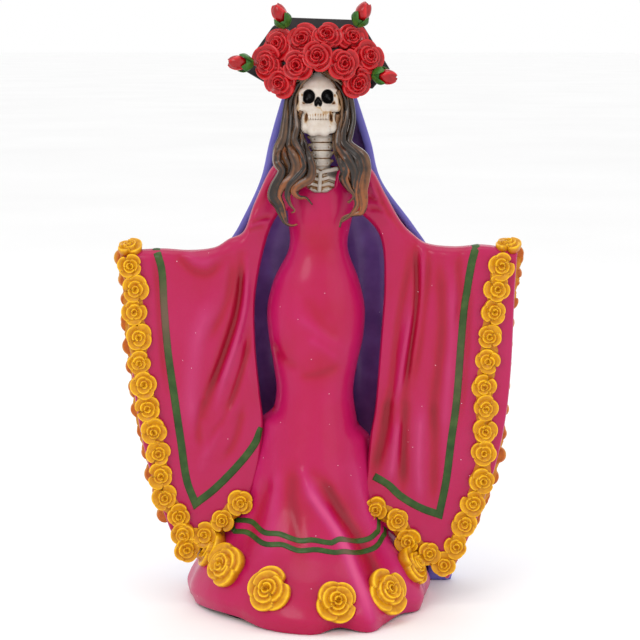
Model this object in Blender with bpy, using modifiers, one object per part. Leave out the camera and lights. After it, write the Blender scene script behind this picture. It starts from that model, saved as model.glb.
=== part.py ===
"""A catrina figure built the papier-mache way, in metres, +Z up.

A paper core on a wooden base board carries a wire armature. Paper shells (dress, flounce, sleeves, cape),
bones, hair, a hat and paper flowers are glued on around it. The figure stands on z = 0 and faces -Y.
Every piece is its own object. Pieces that lie against each other are cut to leave a small glue gap.
"""

import math

import bmesh
import bpy
from mathutils import Matrix, Vector

# ---------------------------------------------------------------- driving dimensions
GAP = 0.0003  # glue gap between neighbouring pieces
CENTRING = Vector((-0.0001, -0.0017, 0.0))  # moves the whole figure so that its box is centred on the origin

PAPER = 0.0020  # wall of the dress and the flounce
DRESS_SIDES = 28  # facets round the dress
CAPE_PAPER = 0.0018
RIBBON_HIGH = 0.0027
RIBBON_THICK = 0.0008

PAD_RADIUS, PAD_THICK = 0.0515, 0.0015
BOARD_RADIUS, BOARD_THICK = 0.0535, 0.0045
HEM_CENTRE_X = -0.0063

POST_X, POST_Y = -0.0010, -0.0015
POST_RADIUS, POST_TOP = 0.0015, 0.2500
ARM_WIRE_RADIUS = 0.0010

NECKLINE = 0.2070
CORE_TOP = 0.1960
CORE_HEIGHTS = (0.014, 0.022, 0.034, 0.050, 0.070, 0.090, 0.107, 0.128, 0.150, 0.166, 0.180)
CORE_SLACK = 0.0026  # room between the core and the paper shells round it

# The dress and flounce: (height, centre x, half width, half depth)
DRESS = (
    (0.0000, -0.0063, 0.0595, 0.0595),
    (0.0080, -0.0063, 0.0612, 0.0612),
    (0.0220, -0.0064, 0.0530, 0.0525),
    (0.0340, -0.0060, 0.0410, 0.0415),
    (0.0500, -0.0050, 0.0310, 0.0330),
    (0.0670, -0.0045, 0.0275, 0.0285),
    (0.0820, -0.0035, 0.0238, 0.0250),
    (0.0950, -0.0030, 0.0212, 0.0220),
    (0.1070, -0.0026, 0.0194, 0.0198),
    (0.1200, -0.0024, 0.0209, 0.0190),
    (0.1350, -0.0020, 0.0237, 0.0190),
    (0.1500, -0.0020, 0.0244, 0.0185),
    (0.1640, -0.0018, 0.0211, 0.0165),
    (0.1800, -0.0008, 0.0146, 0.0125),
    (0.1950, 0.0000, 0.0160, 0.0130),
    (0.2070, 0.0005, 0.0175, 0.0125),
    (0.2200, 0.0008, 0.0170, 0.0095),
)
FLOUNCE_FRONT, FLOUNCE_RISE = 0.0365, 0.0110  # the flounce's top edge at the front, and its rise to the sides

# A sleeve: the ridge line along the arm and the lower edge, as (share along the arm, x outwards, height)
LEFT_RIDGE = (
    (0.00, 0.0135, 0.2225),
    (0.08, 0.0225, 0.2215),
    (0.20, 0.0322, 0.2030),
    (0.32, 0.0378, 0.1885),
    (0.42, 0.0450, 0.1848),
    (0.52, 0.0520, 0.1808),
    (0.65, 0.0640, 0.1797),
    (0.80, 0.0780, 0.1805),
    (1.00, 0.0960, 0.1795),
)
LEFT_LOWER = (
    (0.00, 0.0135, 0.1985),
    (0.08, 0.0205, 0.1965),
    (0.20, 0.0268, 0.1830),
    (0.32, 0.0322, 0.1560),
    (0.42, 0.0322, 0.1300),
    (0.48, 0.0300, 0.1063),
    (0.54, 0.0285, 0.0900),
    (0.60, 0.0310, 0.0680),
    (0.66, 0.0365, 0.0520),
    (0.80, 0.0520, 0.0365),
    (1.00, 0.0690, 0.0230),
)
RIGHT_RIDGE = (
    (0.00, 0.0140, 0.2215),
    (0.08, 0.0240, 0.2205),
    (0.20, 0.0325, 0.2065),
    (0.32, 0.0400, 0.1935),
    (0.42, 0.0460, 0.1872),
    (0.52, 0.0530, 0.1828),
    (0.65, 0.0665, 0.1815),
    (0.80, 0.0800, 0.1825),
    (1.00, 0.0965, 0.1800),
)
RIGHT_LOWER = (
    (0.00, 0.0140, 0.1985),
    (0.08, 0.0200, 0.1970),
    (0.20, 0.0300, 0.1850),
    (0.32, 0.0320, 0.1620),
    (0.42, 0.0300, 0.1300),
    (0.48, 0.0277, 0.1000),
    (0.54, 0.0252, 0.0850),
    (0.60, 0.0235, 0.0670),
    (0.66, 0.0220, 0.0515),
    (0.80, 0.0365, 0.0350),
    (1.00, 0.0640, 0.0118),
)
SLEEVE_BOW = {"left": 0.0085, "right": 0.0120}  # how far the outer edge bows out between its ends
SLEEVE_MIDDLE_Y = ((0.0, -0.0005), (0.2, -0.0030), (0.45, -0.0060), (0.66, -0.0100), (1.0, -0.0105))
SLEEVE_HALF_THICK = ((0.0, 0.0065), (0.3, 0.0062), (0.6, 0.0055), (1.0, 0.0052))

# The cape: (height, left edge x, right edge x, y of the two edges, y of the middle of the back)
CAPE = (
    (0.0005, -0.0672, 0.0690, 0.0250, 0.0680),
    (0.0080, -0.0668, 0.0705, 0.0250, 0.0680),
    (0.0220, -0.0580, 0.0665, 0.0230, 0.0620),
    (0.0360, -0.0505, 0.0630, 0.0205, 0.0550),
    (0.0600, -0.0490, 0.0600, 0.0170, 0.0460),
    (0.1000, -0.0505, 0.0580, 0.0135, 0.0370),
    (0.1400, -0.0515, 0.0570, 0.0125, 0.0325),
    (0.1750, -0.0490, 0.0560, 0.0120, 0.0290),
    (0.1892, -0.0410, 0.0475, 0.0115, 0.0270),
    (0.2124, -0.0300, 0.0308, 0.0100, 0.0240),
    (0.2320, -0.0252, 0.0254, 0.0080, 0.0220),
    (0.2540, -0.0187, 0.0182, 0.0040, 0.0200),
    (0.2600, -0.0160, 0.0158, 0.0050, 0.0190),
)

SKULL_CENTRE = Vector((-0.0006, -0.0030, 0.2545))
SKULL_RADII = Vector((0.0112, 0.0140, 0.0135))
FACE_OFFSET = Vector((0.0, -0.0062, -0.0066))  # from the cranium's centre to the face bones' centre
FACE_RADII = (0.0098, 0.0076, 0.0088)
SOCKET_OUT, SOCKET_DEEP, SOCKET_UP = 0.0047, 0.0158, 0.0003  # an eye socket's centre from the cranium's
SOCKET_RADII = (0.0026, 0.0040, 0.0027)
# The jaw's horizontal sections: (height, half width, half depth, y of the middle)
JAW = ((0.2425, 0.0076, 0.0072, -0.0098), (0.2390, 0.0076, 0.0076, -0.0100), (0.2354, 0.0058, 0.0058, -0.0106))
JAW_X = -0.0003
# The rib cage's horizontal sections: (height, half width, half depth)
RIBCAGE_X = 0.0005
RIBCAGE = (
    (CORE_TOP + GAP, 0.0130, 0.0100),
    (0.2050, 0.0140, 0.0096),
    (0.2130, 0.0142, 0.0090),
    (0.2180, 0.0110, 0.0078),
    (0.2205, 0.0060, 0.0058),
)
NECK_FOOT, NECK_Y = 0.2209, -0.0025
VERTEBRAE, VERTEBRA_HIGH = 4, 0.0036
VERTEBRA_RADIUS, VERTEBRA_GROWS = 0.0043, 0.0003  # the lowest one's radius, and how much each next one adds

# Hair, as horizontal sections: (height, x from, x to, y from, y to)
LEFT_HAIR = (
    (0.2690, -0.0060, -0.0020, -0.0090, 0.0040),
    (0.2620, -0.0148, -0.0040, -0.0125, 0.0080),
    (0.2540, -0.0178, -0.0095, -0.0125, 0.0070),
    (0.2430, -0.0182, -0.0100, -0.0120, 0.0060),
    (0.2350, -0.0191, -0.0068, -0.0120, 0.0050),
    (0.2260, -0.0221, -0.0040, -0.0130, 0.0040),
    (0.2160, -0.0191, -0.0036, -0.0155, 0.0000),
    (0.2060, -0.0237, -0.0045, -0.0180, -0.0060),
    (0.1980, -0.0215, -0.0085, -0.0185, -0.0080),
    (0.1905, -0.0180, -0.0112, -0.0175, -0.0110),
)
RIGHT_HAIR = (
    (0.2690, 0.0012, 0.0055, -0.0090, 0.0040),
    (0.2620, 0.0030, 0.0125, -0.0125, 0.0080),
    (0.2540, 0.0085, 0.0160, -0.0125, 0.0070),
    (0.2430, 0.0090, 0.0166, -0.0120, 0.0060),
    (0.2350, 0.0066, 0.0160, -0.0120, 0.0050),
    (0.2260, 0.0066, 0.0215, -0.0130, 0.0040),
    (0.2160, 0.0105, 0.0224, -0.0155, 0.0000),
    (0.2060, 0.0125, 0.0217, -0.0180, -0.0060),
    (0.1980, 0.0120, 0.0205, -0.0185, -0.0080),
    (0.1905, 0.0095, 0.0150, -0.0175, -0.0110),
)

BRIM_PIVOT = Vector((0.0, 0.0045, 0.2660))
BRIM_LEAN = math.radians(28)
BRIM_THICK = 0.0016
# The brim's six-sided outline, with two clipped corners, as (x, distance up the brim from its pivot)
BRIM = (
    (-0.0178, 0.0306),
    (0.0166, 0.0292),
    (0.0222, 0.0250),
    (0.0345, 0.0020),
    (0.0260, -0.0085),
    (-0.0262, -0.0060),
    (-0.0363, 0.0006),
    (-0.0335, 0.0098),
    (-0.0238, 0.0252),
)
CROWN_RADIUS, CROWN_DEEP, CROWN_UP = 0.0120, 0.0085, 0.0110

RED_ROSE_RADIUS, RED_ROSE_DEEP = 0.0063, 0.0070
RED_ROSES = (
    (-0.0204, -0.0070, 0.2800),
    (-0.0084, -0.0100, 0.2836),
    (0.0034, -0.0105, 0.2855),
    (0.0156, -0.0075, 0.2838),
    (-0.0272, -0.0080, 0.2704),
    (-0.0125, -0.0160, 0.2706),
    (-0.0013, -0.0185, 0.2745),
    (0.0113, -0.0165, 0.2708),
    (0.0236, -0.0085, 0.2738),
    (-0.0202, -0.0110, 0.2598),
    (0.0177, -0.0110, 0.2590),
)
BUD_RADIUS, BUD_LONG = 0.0038, 0.0082
# Rosebuds: (foot of the bud, direction of growth)
BUDS = (
    ((-0.0168, -0.0060, 0.2888), (-0.42, -0.15, 0.90)),
    ((0.0182, -0.0060, 0.2895), (0.42, -0.15, 0.90)),
    ((-0.0333, -0.0090, 0.2708), (-0.98, -0.15, 0.06)),
    ((0.0262, -0.0095, 0.2655), (0.93, -0.15, -0.16)),
)

HEM_ROSE_RADIUS, HEM_ROSE_DEEP = 0.0112, 0.0085
# Roses round the hem: (angle from the front towards the figure's left hand, which is +X; height)
HEM_ROSES = ((-76, 0.0280), (-47, 0.0258), (-19.5, 0.0205), (14.5, 0.0170), (46, 0.0180), (72, 0.0200))

GARLAND_RADIUS = 0.0057
GARLAND_WAIST = 0.68  # the strip's radius between two roses, as a share of a rose's
FRONT_GARLAND_BEADS, REAR_GARLAND_BEADS = 17, 12
# Garlands on the sleeves: points of the line through the roses, as (x outwards, height)
LEFT_FRONT_LINE = (
    (0.0930, 0.1795),
    (0.0915, 0.1613),
    (0.0897, 0.1371),
    (0.0875, 0.1129),
    (0.0830, 0.0900),
    (0.0798, 0.0671),
    (0.0775, 0.0540),
    (0.0705, 0.0440),
    (0.0675, 0.0330),
    (0.0577, 0.0363),
    (0.0490, 0.0441),
    (0.0398, 0.0533),
)
RIGHT_FRONT_LINE = (
    (0.0930, 0.1810),
    (0.0880, 0.1690),
    (0.0858, 0.1495),
    (0.0838, 0.1255),
    (0.0820, 0.1017),
    (0.0818, 0.0789),
    (0.0803, 0.0645),
    (0.0745, 0.0470),
    (0.0682, 0.0306),
    (0.0615, 0.0215),
    (0.0542, 0.0268),
    (0.0444, 0.0345),
    (0.0375, 0.0430),
    (0.0285, 0.0502),
)
LEFT_REAR_LINE = (
    (0.0958, 0.1760),
    (0.0954, 0.1620),
    (0.0944, 0.1456),
    (0.0914, 0.1192),
    (0.0890, 0.0965),
    (0.0838, 0.0724),
    (0.0770, 0.0450),
)
RIGHT_REAR_LINE = (
    (0.0968, 0.1770),
    (0.0948, 0.1630),
    (0.0910, 0.1388),
    (0.0894, 0.1058),
    (0.0880, 0.0803),
    (0.0848, 0.0640),
    (0.0765, 0.0430),
)

# Green ribbon on a sleeve's front: (x outwards, height), from the top down and round the corner
LEFT_RIBBON_LINE = (
    (0.0800, 0.1790),
    (0.0775, 0.1660),
    (0.0768, 0.1516),
    (0.0752, 0.1298),
    (0.0722, 0.1052),
    (0.0695, 0.0845),
    (0.0667, 0.0660),
    (0.0625, 0.0535),
    (0.0527, 0.0600),
    (0.0420, 0.0710),
    (0.0335, 0.0830),
)
RIGHT_RIBBON_LINE = (
    (0.0762, 0.1800),
    (0.0744, 0.1720),
    (0.0716, 0.1540),
    (0.0701, 0.1358),
    (0.0680, 0.1052),
    (0.0655, 0.0845),
    (0.0632, 0.0640),
    (0.0596, 0.0475),
    (0.0503, 0.0505),
    (0.0402, 0.0570),
    (0.0300, 0.0650),
)
RIBBON_WIDE = 0.0038

COLOURS = {
    "magenta": ((0.62, 0.03, 0.14), 0.42),
    "violet": ((0.12, 0.09, 0.42), 0.45),
    "green": ((0.06, 0.22, 0.05), 0.45),
    "yellow": ((0.80, 0.42, 0.02), 0.45),
    "red": ((0.62, 0.01, 0.02), 0.30),
    "bone": ((0.78, 0.70, 0.58), 0.45),
    "brown": ((0.12, 0.06, 0.02), 0.40),
    "black": ((0.045, 0.035, 0.04), 0.55),
    "paper": ((0.55, 0.50, 0.42), 0.90),
    "wood": ((0.45, 0.30, 0.16), 0.80),
    "felt": ((0.04, 0.04, 0.04), 0.95),
    "steel": ((0.50, 0.50, 0.50), 0.35),
}


# ---------------------------------------------------------------- helpers
def clear_scene():
    for obj in list(bpy.data.objects):
        bpy.data.objects.remove(obj)
    for collection in list(bpy.data.collections):
        bpy.data.collections.remove(collection)


def collection_named(name):
    collection = bpy.data.collections.new(name)
    bpy.context.scene.collection.children.link(collection)
    return collection


def material(name):
    found = bpy.data.materials.get(name)
    if found:
        return found
    colour, roughness = COLOURS[name]
    made = bpy.data.materials.new(name)
    made.use_nodes = True
    shader = made.node_tree.nodes["Principled BSDF"]
    shader.inputs["Base Color"].default_value = (*colour, 1.0)
    shader.inputs["Roughness"].default_value = roughness
    shader.inputs["Metallic"].default_value = 1.0 if name == "steel" else 0.0
    return made


def finish_object(name, mesh, colour):
    """Links a mesh into the figure as a named, coloured, smooth-shaded object."""
    mesh.name = name
    obj = bpy.data.objects.new(name, mesh)
    FIGURE.objects.link(obj)
    mesh.materials.clear()
    mesh.materials.append(material(colour))
    mesh.shade_smooth()
    mesh.set_sharp_from_angle(angle=math.radians(40))
    return obj


def spline_through(points, share):
    """A smooth value along rows of numbers, each starting with its place; the curve passes through every row."""
    places = [p[0] for p in points]
    share = min(max(share, places[0]), places[-1])
    i = max(k for k in range(len(points) - 1) if places[k] <= share)
    width = places[i + 1] - places[i]
    t = (share - places[i]) / width
    values = []
    for column in range(1, len(points[0])):
        here, there = points[i][column], points[i + 1][column]
        before = slope(points, i, column) * width
        after = slope(points, i + 1, column) * width
        values.append(
            (2 * t**3 - 3 * t**2 + 1) * here
            + (t**3 - 2 * t**2 + t) * before
            + (3 * t**2 - 2 * t**3) * there
            + (t**3 - t**2) * after
        )
    return values


def slope(points, i, column):
    low, high = max(i - 1, 0), min(i + 1, len(points) - 1)
    return (points[high][column] - points[low][column]) / (points[high][0] - points[low][0])


def smooth_line(points, count):
    """Evenly spaced points along a smooth curve through the given ones, of any dimension."""
    lengths = [0.0]
    for a, b in zip(points, points[1:]):
        lengths.append(lengths[-1] + (Vector(b) - Vector(a)).length)
    rows = [(s, *p) for s, p in zip(lengths, points)]
    return [Vector(spline_through(rows, lengths[-1] * k / (count - 1))) for k in range(count)]


def loft(name, rings, colour, closed_path=False):
    """A solid through rings of points: capped at both ends, or with its last ring joined to its first."""
    bm = bmesh.new()
    rows = [[bm.verts.new(p) for p in ring] for ring in rings]
    size = len(rings[0])
    pairs = list(zip(rows, rows[1:])) + ([(rows[-1], rows[0])] if closed_path else [])
    for low, high in pairs:
        for k in range(size):
            n = (k + 1) % size
            bm.faces.new((low[k], low[n], high[n], high[k]))
    if not closed_path:
        bm.faces.new(list(reversed(rows[0])))
        bm.faces.new(rows[-1])
    bmesh.ops.recalc_face_normals(bm, faces=bm.faces)
    bmesh.ops.triangulate(bm, faces=[f for f in bm.faces if len(f.verts) > 4])
    mesh = bpy.data.meshes.new(name)
    bm.to_mesh(mesh)
    bm.free()
    return finish_object(name, mesh, colour)


def turned(name, profile, steps, colour, place=(0, 0, 0), axis=(0, 0, 1)):
    """A turned solid: (radius, height) from the top down the outside to the bottom, with its axis along axis."""
    mesh = bpy.data.meshes.new(name)
    rows = [(r, 0.0, h) for r, h in profile]
    mesh.from_pydata(rows, [(k, k + 1) for k in range(len(rows) - 1)], [])
    obj = finish_object(name, mesh, colour)
    screw = obj.modifiers.new("turn", "SCREW")
    screw.steps = screw.render_steps = steps
    screw.use_merge_vertices = True
    screw.merge_threshold = 0.0001
    obj.location = place
    obj.rotation_mode = "QUATERNION"
    obj.rotation_quaternion = Vector(axis).to_track_quat("Z", "Y")
    return obj


def evaluated_mesh(obj):
    """The object's mesh in world space, with its modifiers applied."""
    bpy.context.view_layer.update()
    graph = bpy.context.evaluated_depsgraph_get()
    mesh = bpy.data.meshes.new_from_object(obj.evaluated_get(graph))
    mesh.transform(obj.matrix_world)
    return mesh


def freeze(obj):
    """Replaces the object by its evaluated mesh in world space, with loose caps welded."""
    name, colour = obj.name, obj.data.materials[0].name
    mesh = evaluated_mesh(obj)
    bm = bmesh.new()
    bm.from_mesh(mesh)
    if any(not edge.is_manifold for edge in bm.edges):
        bmesh.ops.remove_doubles(bm, verts=bm.verts, dist=1e-6)
    bm.to_mesh(mesh)
    bm.free()
    bpy.data.objects.remove(obj)
    return finish_object(name, mesh, colour)


def swollen_copy(obj, gap):
    """A hidden copy of a piece, pushed outwards by the gap, to cut its neighbours with."""
    mesh = evaluated_mesh(obj)
    bm = bmesh.new()
    bm.from_mesh(mesh)
    if any(not edge.is_manifold for edge in bm.edges):
        bmesh.ops.remove_doubles(bm, verts=bm.verts, dist=1e-6)
    bm.normal_update()
    moves = [(v, v.normal * gap) for v in bm.verts]
    for vert, move in moves:
        vert.co += move
    bm.to_mesh(mesh)
    bm.free()
    cutter = bpy.data.objects.new("cutter_" + obj.name, mesh)
    CUTTERS.objects.link(cutter)
    cutter.hide_render = True
    cutter.display_type = "WIRE"
    return cutter


def keep_largest_body(mesh):
    """Drops the loose crumbs that a cut leaves beside the main body."""
    bm = bmesh.new()
    bm.from_mesh(mesh)
    left = set(bm.verts)
    bodies = []
    while left:
        body, edge = set(), [left.pop()]
        while edge:
            vert = edge.pop()
            body.add(vert)
            near = {e.other_vert(vert) for e in vert.link_edges} & left
            left -= near
            edge.extend(near)
        bodies.append(body)
    bodies.sort(key=len)
    for body in bodies[:-1]:
        bmesh.ops.delete(bm, geom=list(body), context="VERTS")
    bm.to_mesh(mesh)
    bm.free()


def trim(obj, *neighbours, gap=GAP):
    """Cuts the object clear of its neighbours, leaving the gap."""
    piece = freeze(obj)
    name, colour = piece.name, piece.data.materials[0].name
    for neighbour in neighbours:
        # The garlands and the swollen copies cross themselves, which the exact solver answers with an empty
        # result, so the manifold solver cuts here. It cuts twice: with the true shape, then with the gap.
        for push in (0.0, gap):
            cut = piece.modifiers.new("clear of " + neighbour.name, "BOOLEAN")
            cut.operation = "DIFFERENCE"
            cut.solver = "MANIFOLD"
            cut.object = swollen_copy(neighbour, push)
    mesh = evaluated_mesh(piece)
    keep_largest_body(mesh)
    bpy.data.objects.remove(piece)
    for cutter in list(CUTTERS.objects):
        bpy.data.objects.remove(cutter)
    return finish_object(name, mesh, colour)


# ---------------------------------------------------------------- base, armature and core
def make_base():
    """The felt pad that the figure stands on, and the round board above it. Returns the board."""
    turned(
        "base_pad",
        [(0.0, PAD_THICK), (PAD_RADIUS, PAD_THICK), (PAD_RADIUS, 0.0), (0.0, 0.0)],
        40,
        "felt",
        place=(HEM_CENTRE_X, 0, 0),
    )
    return turned(
        "base_board",
        [(0.0, BOARD_THICK), (BOARD_RADIUS, BOARD_THICK), (BOARD_RADIUS, 0.0), (0.0, 0.0)],
        40,
        "wood",
        place=(HEM_CENTRE_X, 0, PAD_THICK + GAP),
    )


def make_post():
    foot = PAD_THICK + 2 * GAP
    return turned(
        "armature_post",
        [(0.0, POST_TOP - foot), (POST_RADIUS, POST_TOP - foot), (POST_RADIUS, 0.0), (0.0, 0.0)],
        12,
        "steel",
        place=(POST_X, POST_Y, foot),
    )


def arm_wire(side):
    sign = -1 if side == "left" else 1
    path = (
        (0.0035, -0.0010, 0.2100),
        (0.0160, -0.0010, 0.2110),
        (0.0240, -0.0030, 0.2050),
        (0.0390, -0.0060, 0.1805),
        (0.0500, -0.0080, 0.1745),
        (0.0860, -0.0103, 0.1735),
    )
    curve = bpy.data.curves.new(side + "_arm_wire", "CURVE")
    curve.dimensions = "3D"
    curve.bevel_depth = ARM_WIRE_RADIUS
    curve.bevel_resolution = 2
    curve.use_fill_caps = True
    spline = curve.splines.new("POLY")
    points = smooth_line([(sign * x, y, z) for x, y, z in path], 16)
    spline.points.add(len(points) - 1)
    for point, place in zip(spline.points, points):
        point.co = (*place, 1.0)
    curve.materials.append(material("steel"))
    obj = bpy.data.objects.new(side + "_arm_wire", curve)
    FIGURE.objects.link(obj)
    return freeze(obj)


def dress_ring(height_at, inset, count=DRESS_SIDES):
    """Points round the dress where the height is height_at(angle); inset moves them inwards."""
    ring = []
    for k in range(count):
        angle = 2 * math.pi * k / count
        height = height_at(angle)
        centre, wide, deep = spline_through(DRESS, height)
        ring.append(
            (
                centre + (wide - inset) * math.cos(angle),
                (deep - inset) * math.sin(angle),
                height,
            )
        )
    return ring


def flounce_top(angle):
    """The flounce's top edge: low at the front, where the angle is -90 degrees, and higher round the back."""
    return FLOUNCE_FRONT + FLOUNCE_RISE * (1 + math.sin(angle))


def shell_between(name, low, high, rows, colour):
    """A paper shell of the dress's shape between two edges, each a height for an angle, open at both."""
    rings = []
    for inset, order in ((0.0, range(rows)), (PAPER, reversed(range(rows)))):
        for k in order:
            share = k / (rows - 1)
            rings.append(dress_ring(lambda a: low(a) * (1 - share) + high(a) * share, inset))
    return loft(name, rings, colour, closed_path=True)


def neck_edge(angle):
    """The dress's top edge: scooped at the front, high on the shoulders."""
    scoop = max(0.0, -math.sin(angle)) ** 3
    return 0.2190 - (0.2190 - NECKLINE) * scoop


def make_dress():
    dress = shell_between("dress", lambda a: flounce_top(a) + GAP, neck_edge, 14, "magenta")
    flounce = shell_between("skirt_flounce", lambda a: 0.0, flounce_top, 6, "magenta")
    return dress, flounce


def make_core(*neighbours):
    """The crumpled-paper core that fills the dress, standing on the base board."""
    foot = PAD_THICK + BOARD_THICK + 2 * GAP
    inset = PAPER + CORE_SLACK
    rings = []
    for height in (foot, *CORE_HEIGHTS, CORE_TOP):
        rings.append(dress_ring(lambda a: height, inset))
    return trim(loft("paper_core", rings, "paper"), *neighbours)


def ribbon_round_dress(name, front, colour="green"):
    """A flat ribbon glued round the dress, following the flounce's top edge at the given height in front."""
    lift = front - FLOUNCE_FRONT
    rings = []
    corners = ((GAP, 0.0), (GAP + RIBBON_THICK, 0.0), (GAP + RIBBON_THICK, 1.0), (GAP, 1.0))
    loops = []
    for out, up in corners:
        loops.append(dress_ring(lambda a: flounce_top(a) + lift + (up - 0.5) * RIBBON_HIGH, -out))
    for k in range(DRESS_SIDES):
        rings.append([loop[k] for loop in loops])
    return loft(name, rings, colour, closed_path=True)


# ---------------------------------------------------------------- sleeves, garlands and cape
def sleeve_point(side, along, down, face):
    """A point of a sleeve: along the arm, down from its ridge, and on its front (-1), back (1) or middle (0)."""
    ridge = LEFT_RIDGE if side == "left" else RIGHT_RIDGE
    lower = LEFT_LOWER if side == "left" else RIGHT_LOWER
    sign = -1 if side == "left" else 1
    top_x, top_z = spline_through(ridge, along)
    low_x, low_z = spline_through(lower, along)
    bow = SLEEVE_BOW[side] * along**3 * math.sin(math.pi * down**1.25)
    x = top_x + (low_x - top_x) * down + bow
    z = top_z + (low_z - top_z) * down
    (middle,) = spline_through(SLEEVE_MIDDLE_Y, along)
    (half,) = spline_through(SLEEVE_HALF_THICK, along)
    length = math.hypot(low_x - top_x, low_z - top_z)
    from_top, from_bottom = down * length, (1 - down) * length
    hem = 0.0036
    top_round = math.sqrt(max(0.0, 1 - max(0.0, 1 - from_top / half) ** 2))
    low_round = math.sqrt(max(0.0, 1 - max(0.0, 1 - from_bottom / hem) ** 2))
    thick = half + (hem - half) * down
    return Vector((sign * x, middle + face * thick * top_round * low_round, z))


def make_sleeve(side, rows=15):
    downs = (0.0, 0.02, 0.07, 0.22, 0.45, 0.70, 0.88, 0.97, 1.0)
    rings = []
    for k in range(rows):
        along = k / (rows - 1)
        front = [sleeve_point(side, along, down, -1) for down in downs]
        back = [sleeve_point(side, along, down, 1) for down in reversed(downs[1:-1])]
        rings.append(front + back)
    return loft(side + "_sleeve", rings, "magenta")


def on_sleeve(side, x, z, face):
    """The point of the sleeve's face that lies at x outwards and height z, by stepping towards it."""
    along, down = 0.8, 0.5
    sign = -1 if side == "left" else 1
    step = 0.001
    for _ in range(30):
        here = sleeve_point(side, along, down, 0)
        across = (sleeve_point(side, along + step, down, 0) - here) / step
        below = (sleeve_point(side, along, down + step, 0) - here) / step
        miss_x, miss_z = sign * x - here.x, z - here.z
        det = across.x * below.z - across.z * below.x
        along += (miss_x * below.z - miss_z * below.x) / det * 0.8
        down += (across.x * miss_z - across.z * miss_x) / det * 0.8
        along, down = min(max(along, 0.05), 0.999), min(max(down, 0.001), 0.999)
    return sleeve_point(side, along, down, face)


def garland(name, side, line, beads, face):
    """A row of rolled paper roses on a strip, as one body: a tube that swells at every rose."""
    per_bead = 2
    count = beads * per_bead + 1
    flat = smooth_line(line, count)
    curve = bpy.data.curves.new(name, "CURVE")
    curve.dimensions = "3D"
    curve.bevel_depth = GARLAND_RADIUS
    curve.bevel_resolution = 2
    curve.use_fill_caps = True
    spline = curve.splines.new("POLY")
    spline.points.add(count - 1)
    sign = -1 if side == "left" else 1
    for k, (x, z) in enumerate(flat):
        surface = on_sleeve(side, x, z, face).y
        spline.points[k].co = (sign * x, surface + face * 0.0012, z, 1.0)
        spline.points[k].radius = 1.0 if k % per_bead else GARLAND_WAIST
    curve.materials.append(material("yellow"))
    obj = bpy.data.objects.new(name, curve)
    FIGURE.objects.link(obj)
    return freeze(obj)


def sleeve_ribbon(side):
    """The green ribbon glued on a sleeve's front, a flat strip that turns a corner near the hem."""
    line = LEFT_RIBBON_LINE if side == "left" else RIGHT_RIBBON_LINE
    sign = -1 if side == "left" else 1
    path = smooth_line(line, 26)
    rings = []
    for k, (x, z) in enumerate(path):
        ahead, behind = path[min(k + 1, len(path) - 1)], path[max(k - 1, 0)]
        run = (ahead - behind).normalized()
        across = Vector((-run.y, run.x)) * RIBBON_WIDE / 2
        surface = on_sleeve(side, x, z, -1).y - GAP - 0.0005
        corners = []
        for edge, out in ((-1, 0.0), (1, 0.0), (1, -RIBBON_THICK), (-1, -RIBBON_THICK)):
            corners.append((sign * (x + edge * across.x), surface + out, z + edge * across.y))
        rings.append(corners)
    return loft(side + "_sleeve_ribbon", rings, "green")


def make_cape():
    """The cape from the hat to the floor: a curved sheet, open at the front."""
    count = 19
    rings = []
    for row in CAPE:
        height, left, right, edge_y, back_y = row
        middle, half = (left + right) / 2, (right - left) / 2
        outer, inner = [], []
        for k in range(count):
            turn = math.pi * (k / (count - 1) - 0.5)
            across, back = math.sin(turn), math.cos(turn)
            outer.append((middle + half * across, edge_y + (back_y - edge_y) * back, height))
            thin = CAPE_PAPER
            inner.append(
                (
                    middle + (half - thin) * across,
                    edge_y - thin * 0.3 + (back_y - edge_y - thin) * back,
                    height,
                )
            )
        rings.append(outer + list(reversed(inner)))
    return loft("cape", rings, "violet")


# ---------------------------------------------------------------- bones and hair
def ellipse_ring(centre, wide, deep, count=16):
    return [
        (
            centre[0] + wide * math.cos(2 * math.pi * k / count),
            centre[1] + deep * math.sin(2 * math.pi * k / count),
            centre[2],
        )
        for k in range(count)
    ]


def make_ribcage():
    """The bone chest in the neckline, with the shoulders of the rib cage, inside the dress."""
    rings = [ellipse_ring((RIBCAGE_X, 0.0, z), wide, deep) for z, wide, deep in RIBCAGE]
    return loft("ribcage", rings, "bone")


def make_vertebrae():
    """Neck bones threaded on the post."""
    high = VERTEBRA_HIGH
    made = []
    for k in range(VERTEBRAE):
        foot = NECK_FOOT + k * (high + GAP)
        radius = VERTEBRA_RADIUS + VERTEBRA_GROWS * k
        profile = [
            (0.0, high),
            (radius * 0.86, high),
            (radius, high * 0.72),
            (radius * 0.88, high * 0.45),
            (radius * 0.96, high * 0.2),
            (radius * 0.8, 0.0),
            (0.0, 0.0),
        ]
        made.append(turned(f"neck_vertebra_{k + 1}", profile, 10, "bone", place=(0.0, NECK_Y, foot)))
    return made


def ball(name, centre, radii, colour, rings=10, segments=16):
    mesh = bpy.data.meshes.new(name)
    bm = bmesh.new()
    bmesh.ops.create_uvsphere(bm, u_segments=segments, v_segments=rings, radius=1.0)
    bmesh.ops.transform(bm, matrix=Matrix.Translation(centre) @ Matrix.Diagonal((*radii, 1.0)), verts=bm.verts)
    bm.to_mesh(mesh)
    bm.free()
    return finish_object(name, mesh, colour)


def union(obj, *others):
    """Joins overlapping pieces into the first one."""
    name, colour = obj.name, obj.data.materials[0].name
    for other in others:
        join = obj.modifiers.new("join", "BOOLEAN")
        join.operation = "UNION"
        join.solver = "MANIFOLD"
        join.object = other
    mesh = evaluated_mesh(obj)
    bpy.data.objects.remove(obj)
    for other in others:
        bpy.data.objects.remove(other)
    return finish_object(name, mesh, colour)


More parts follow.
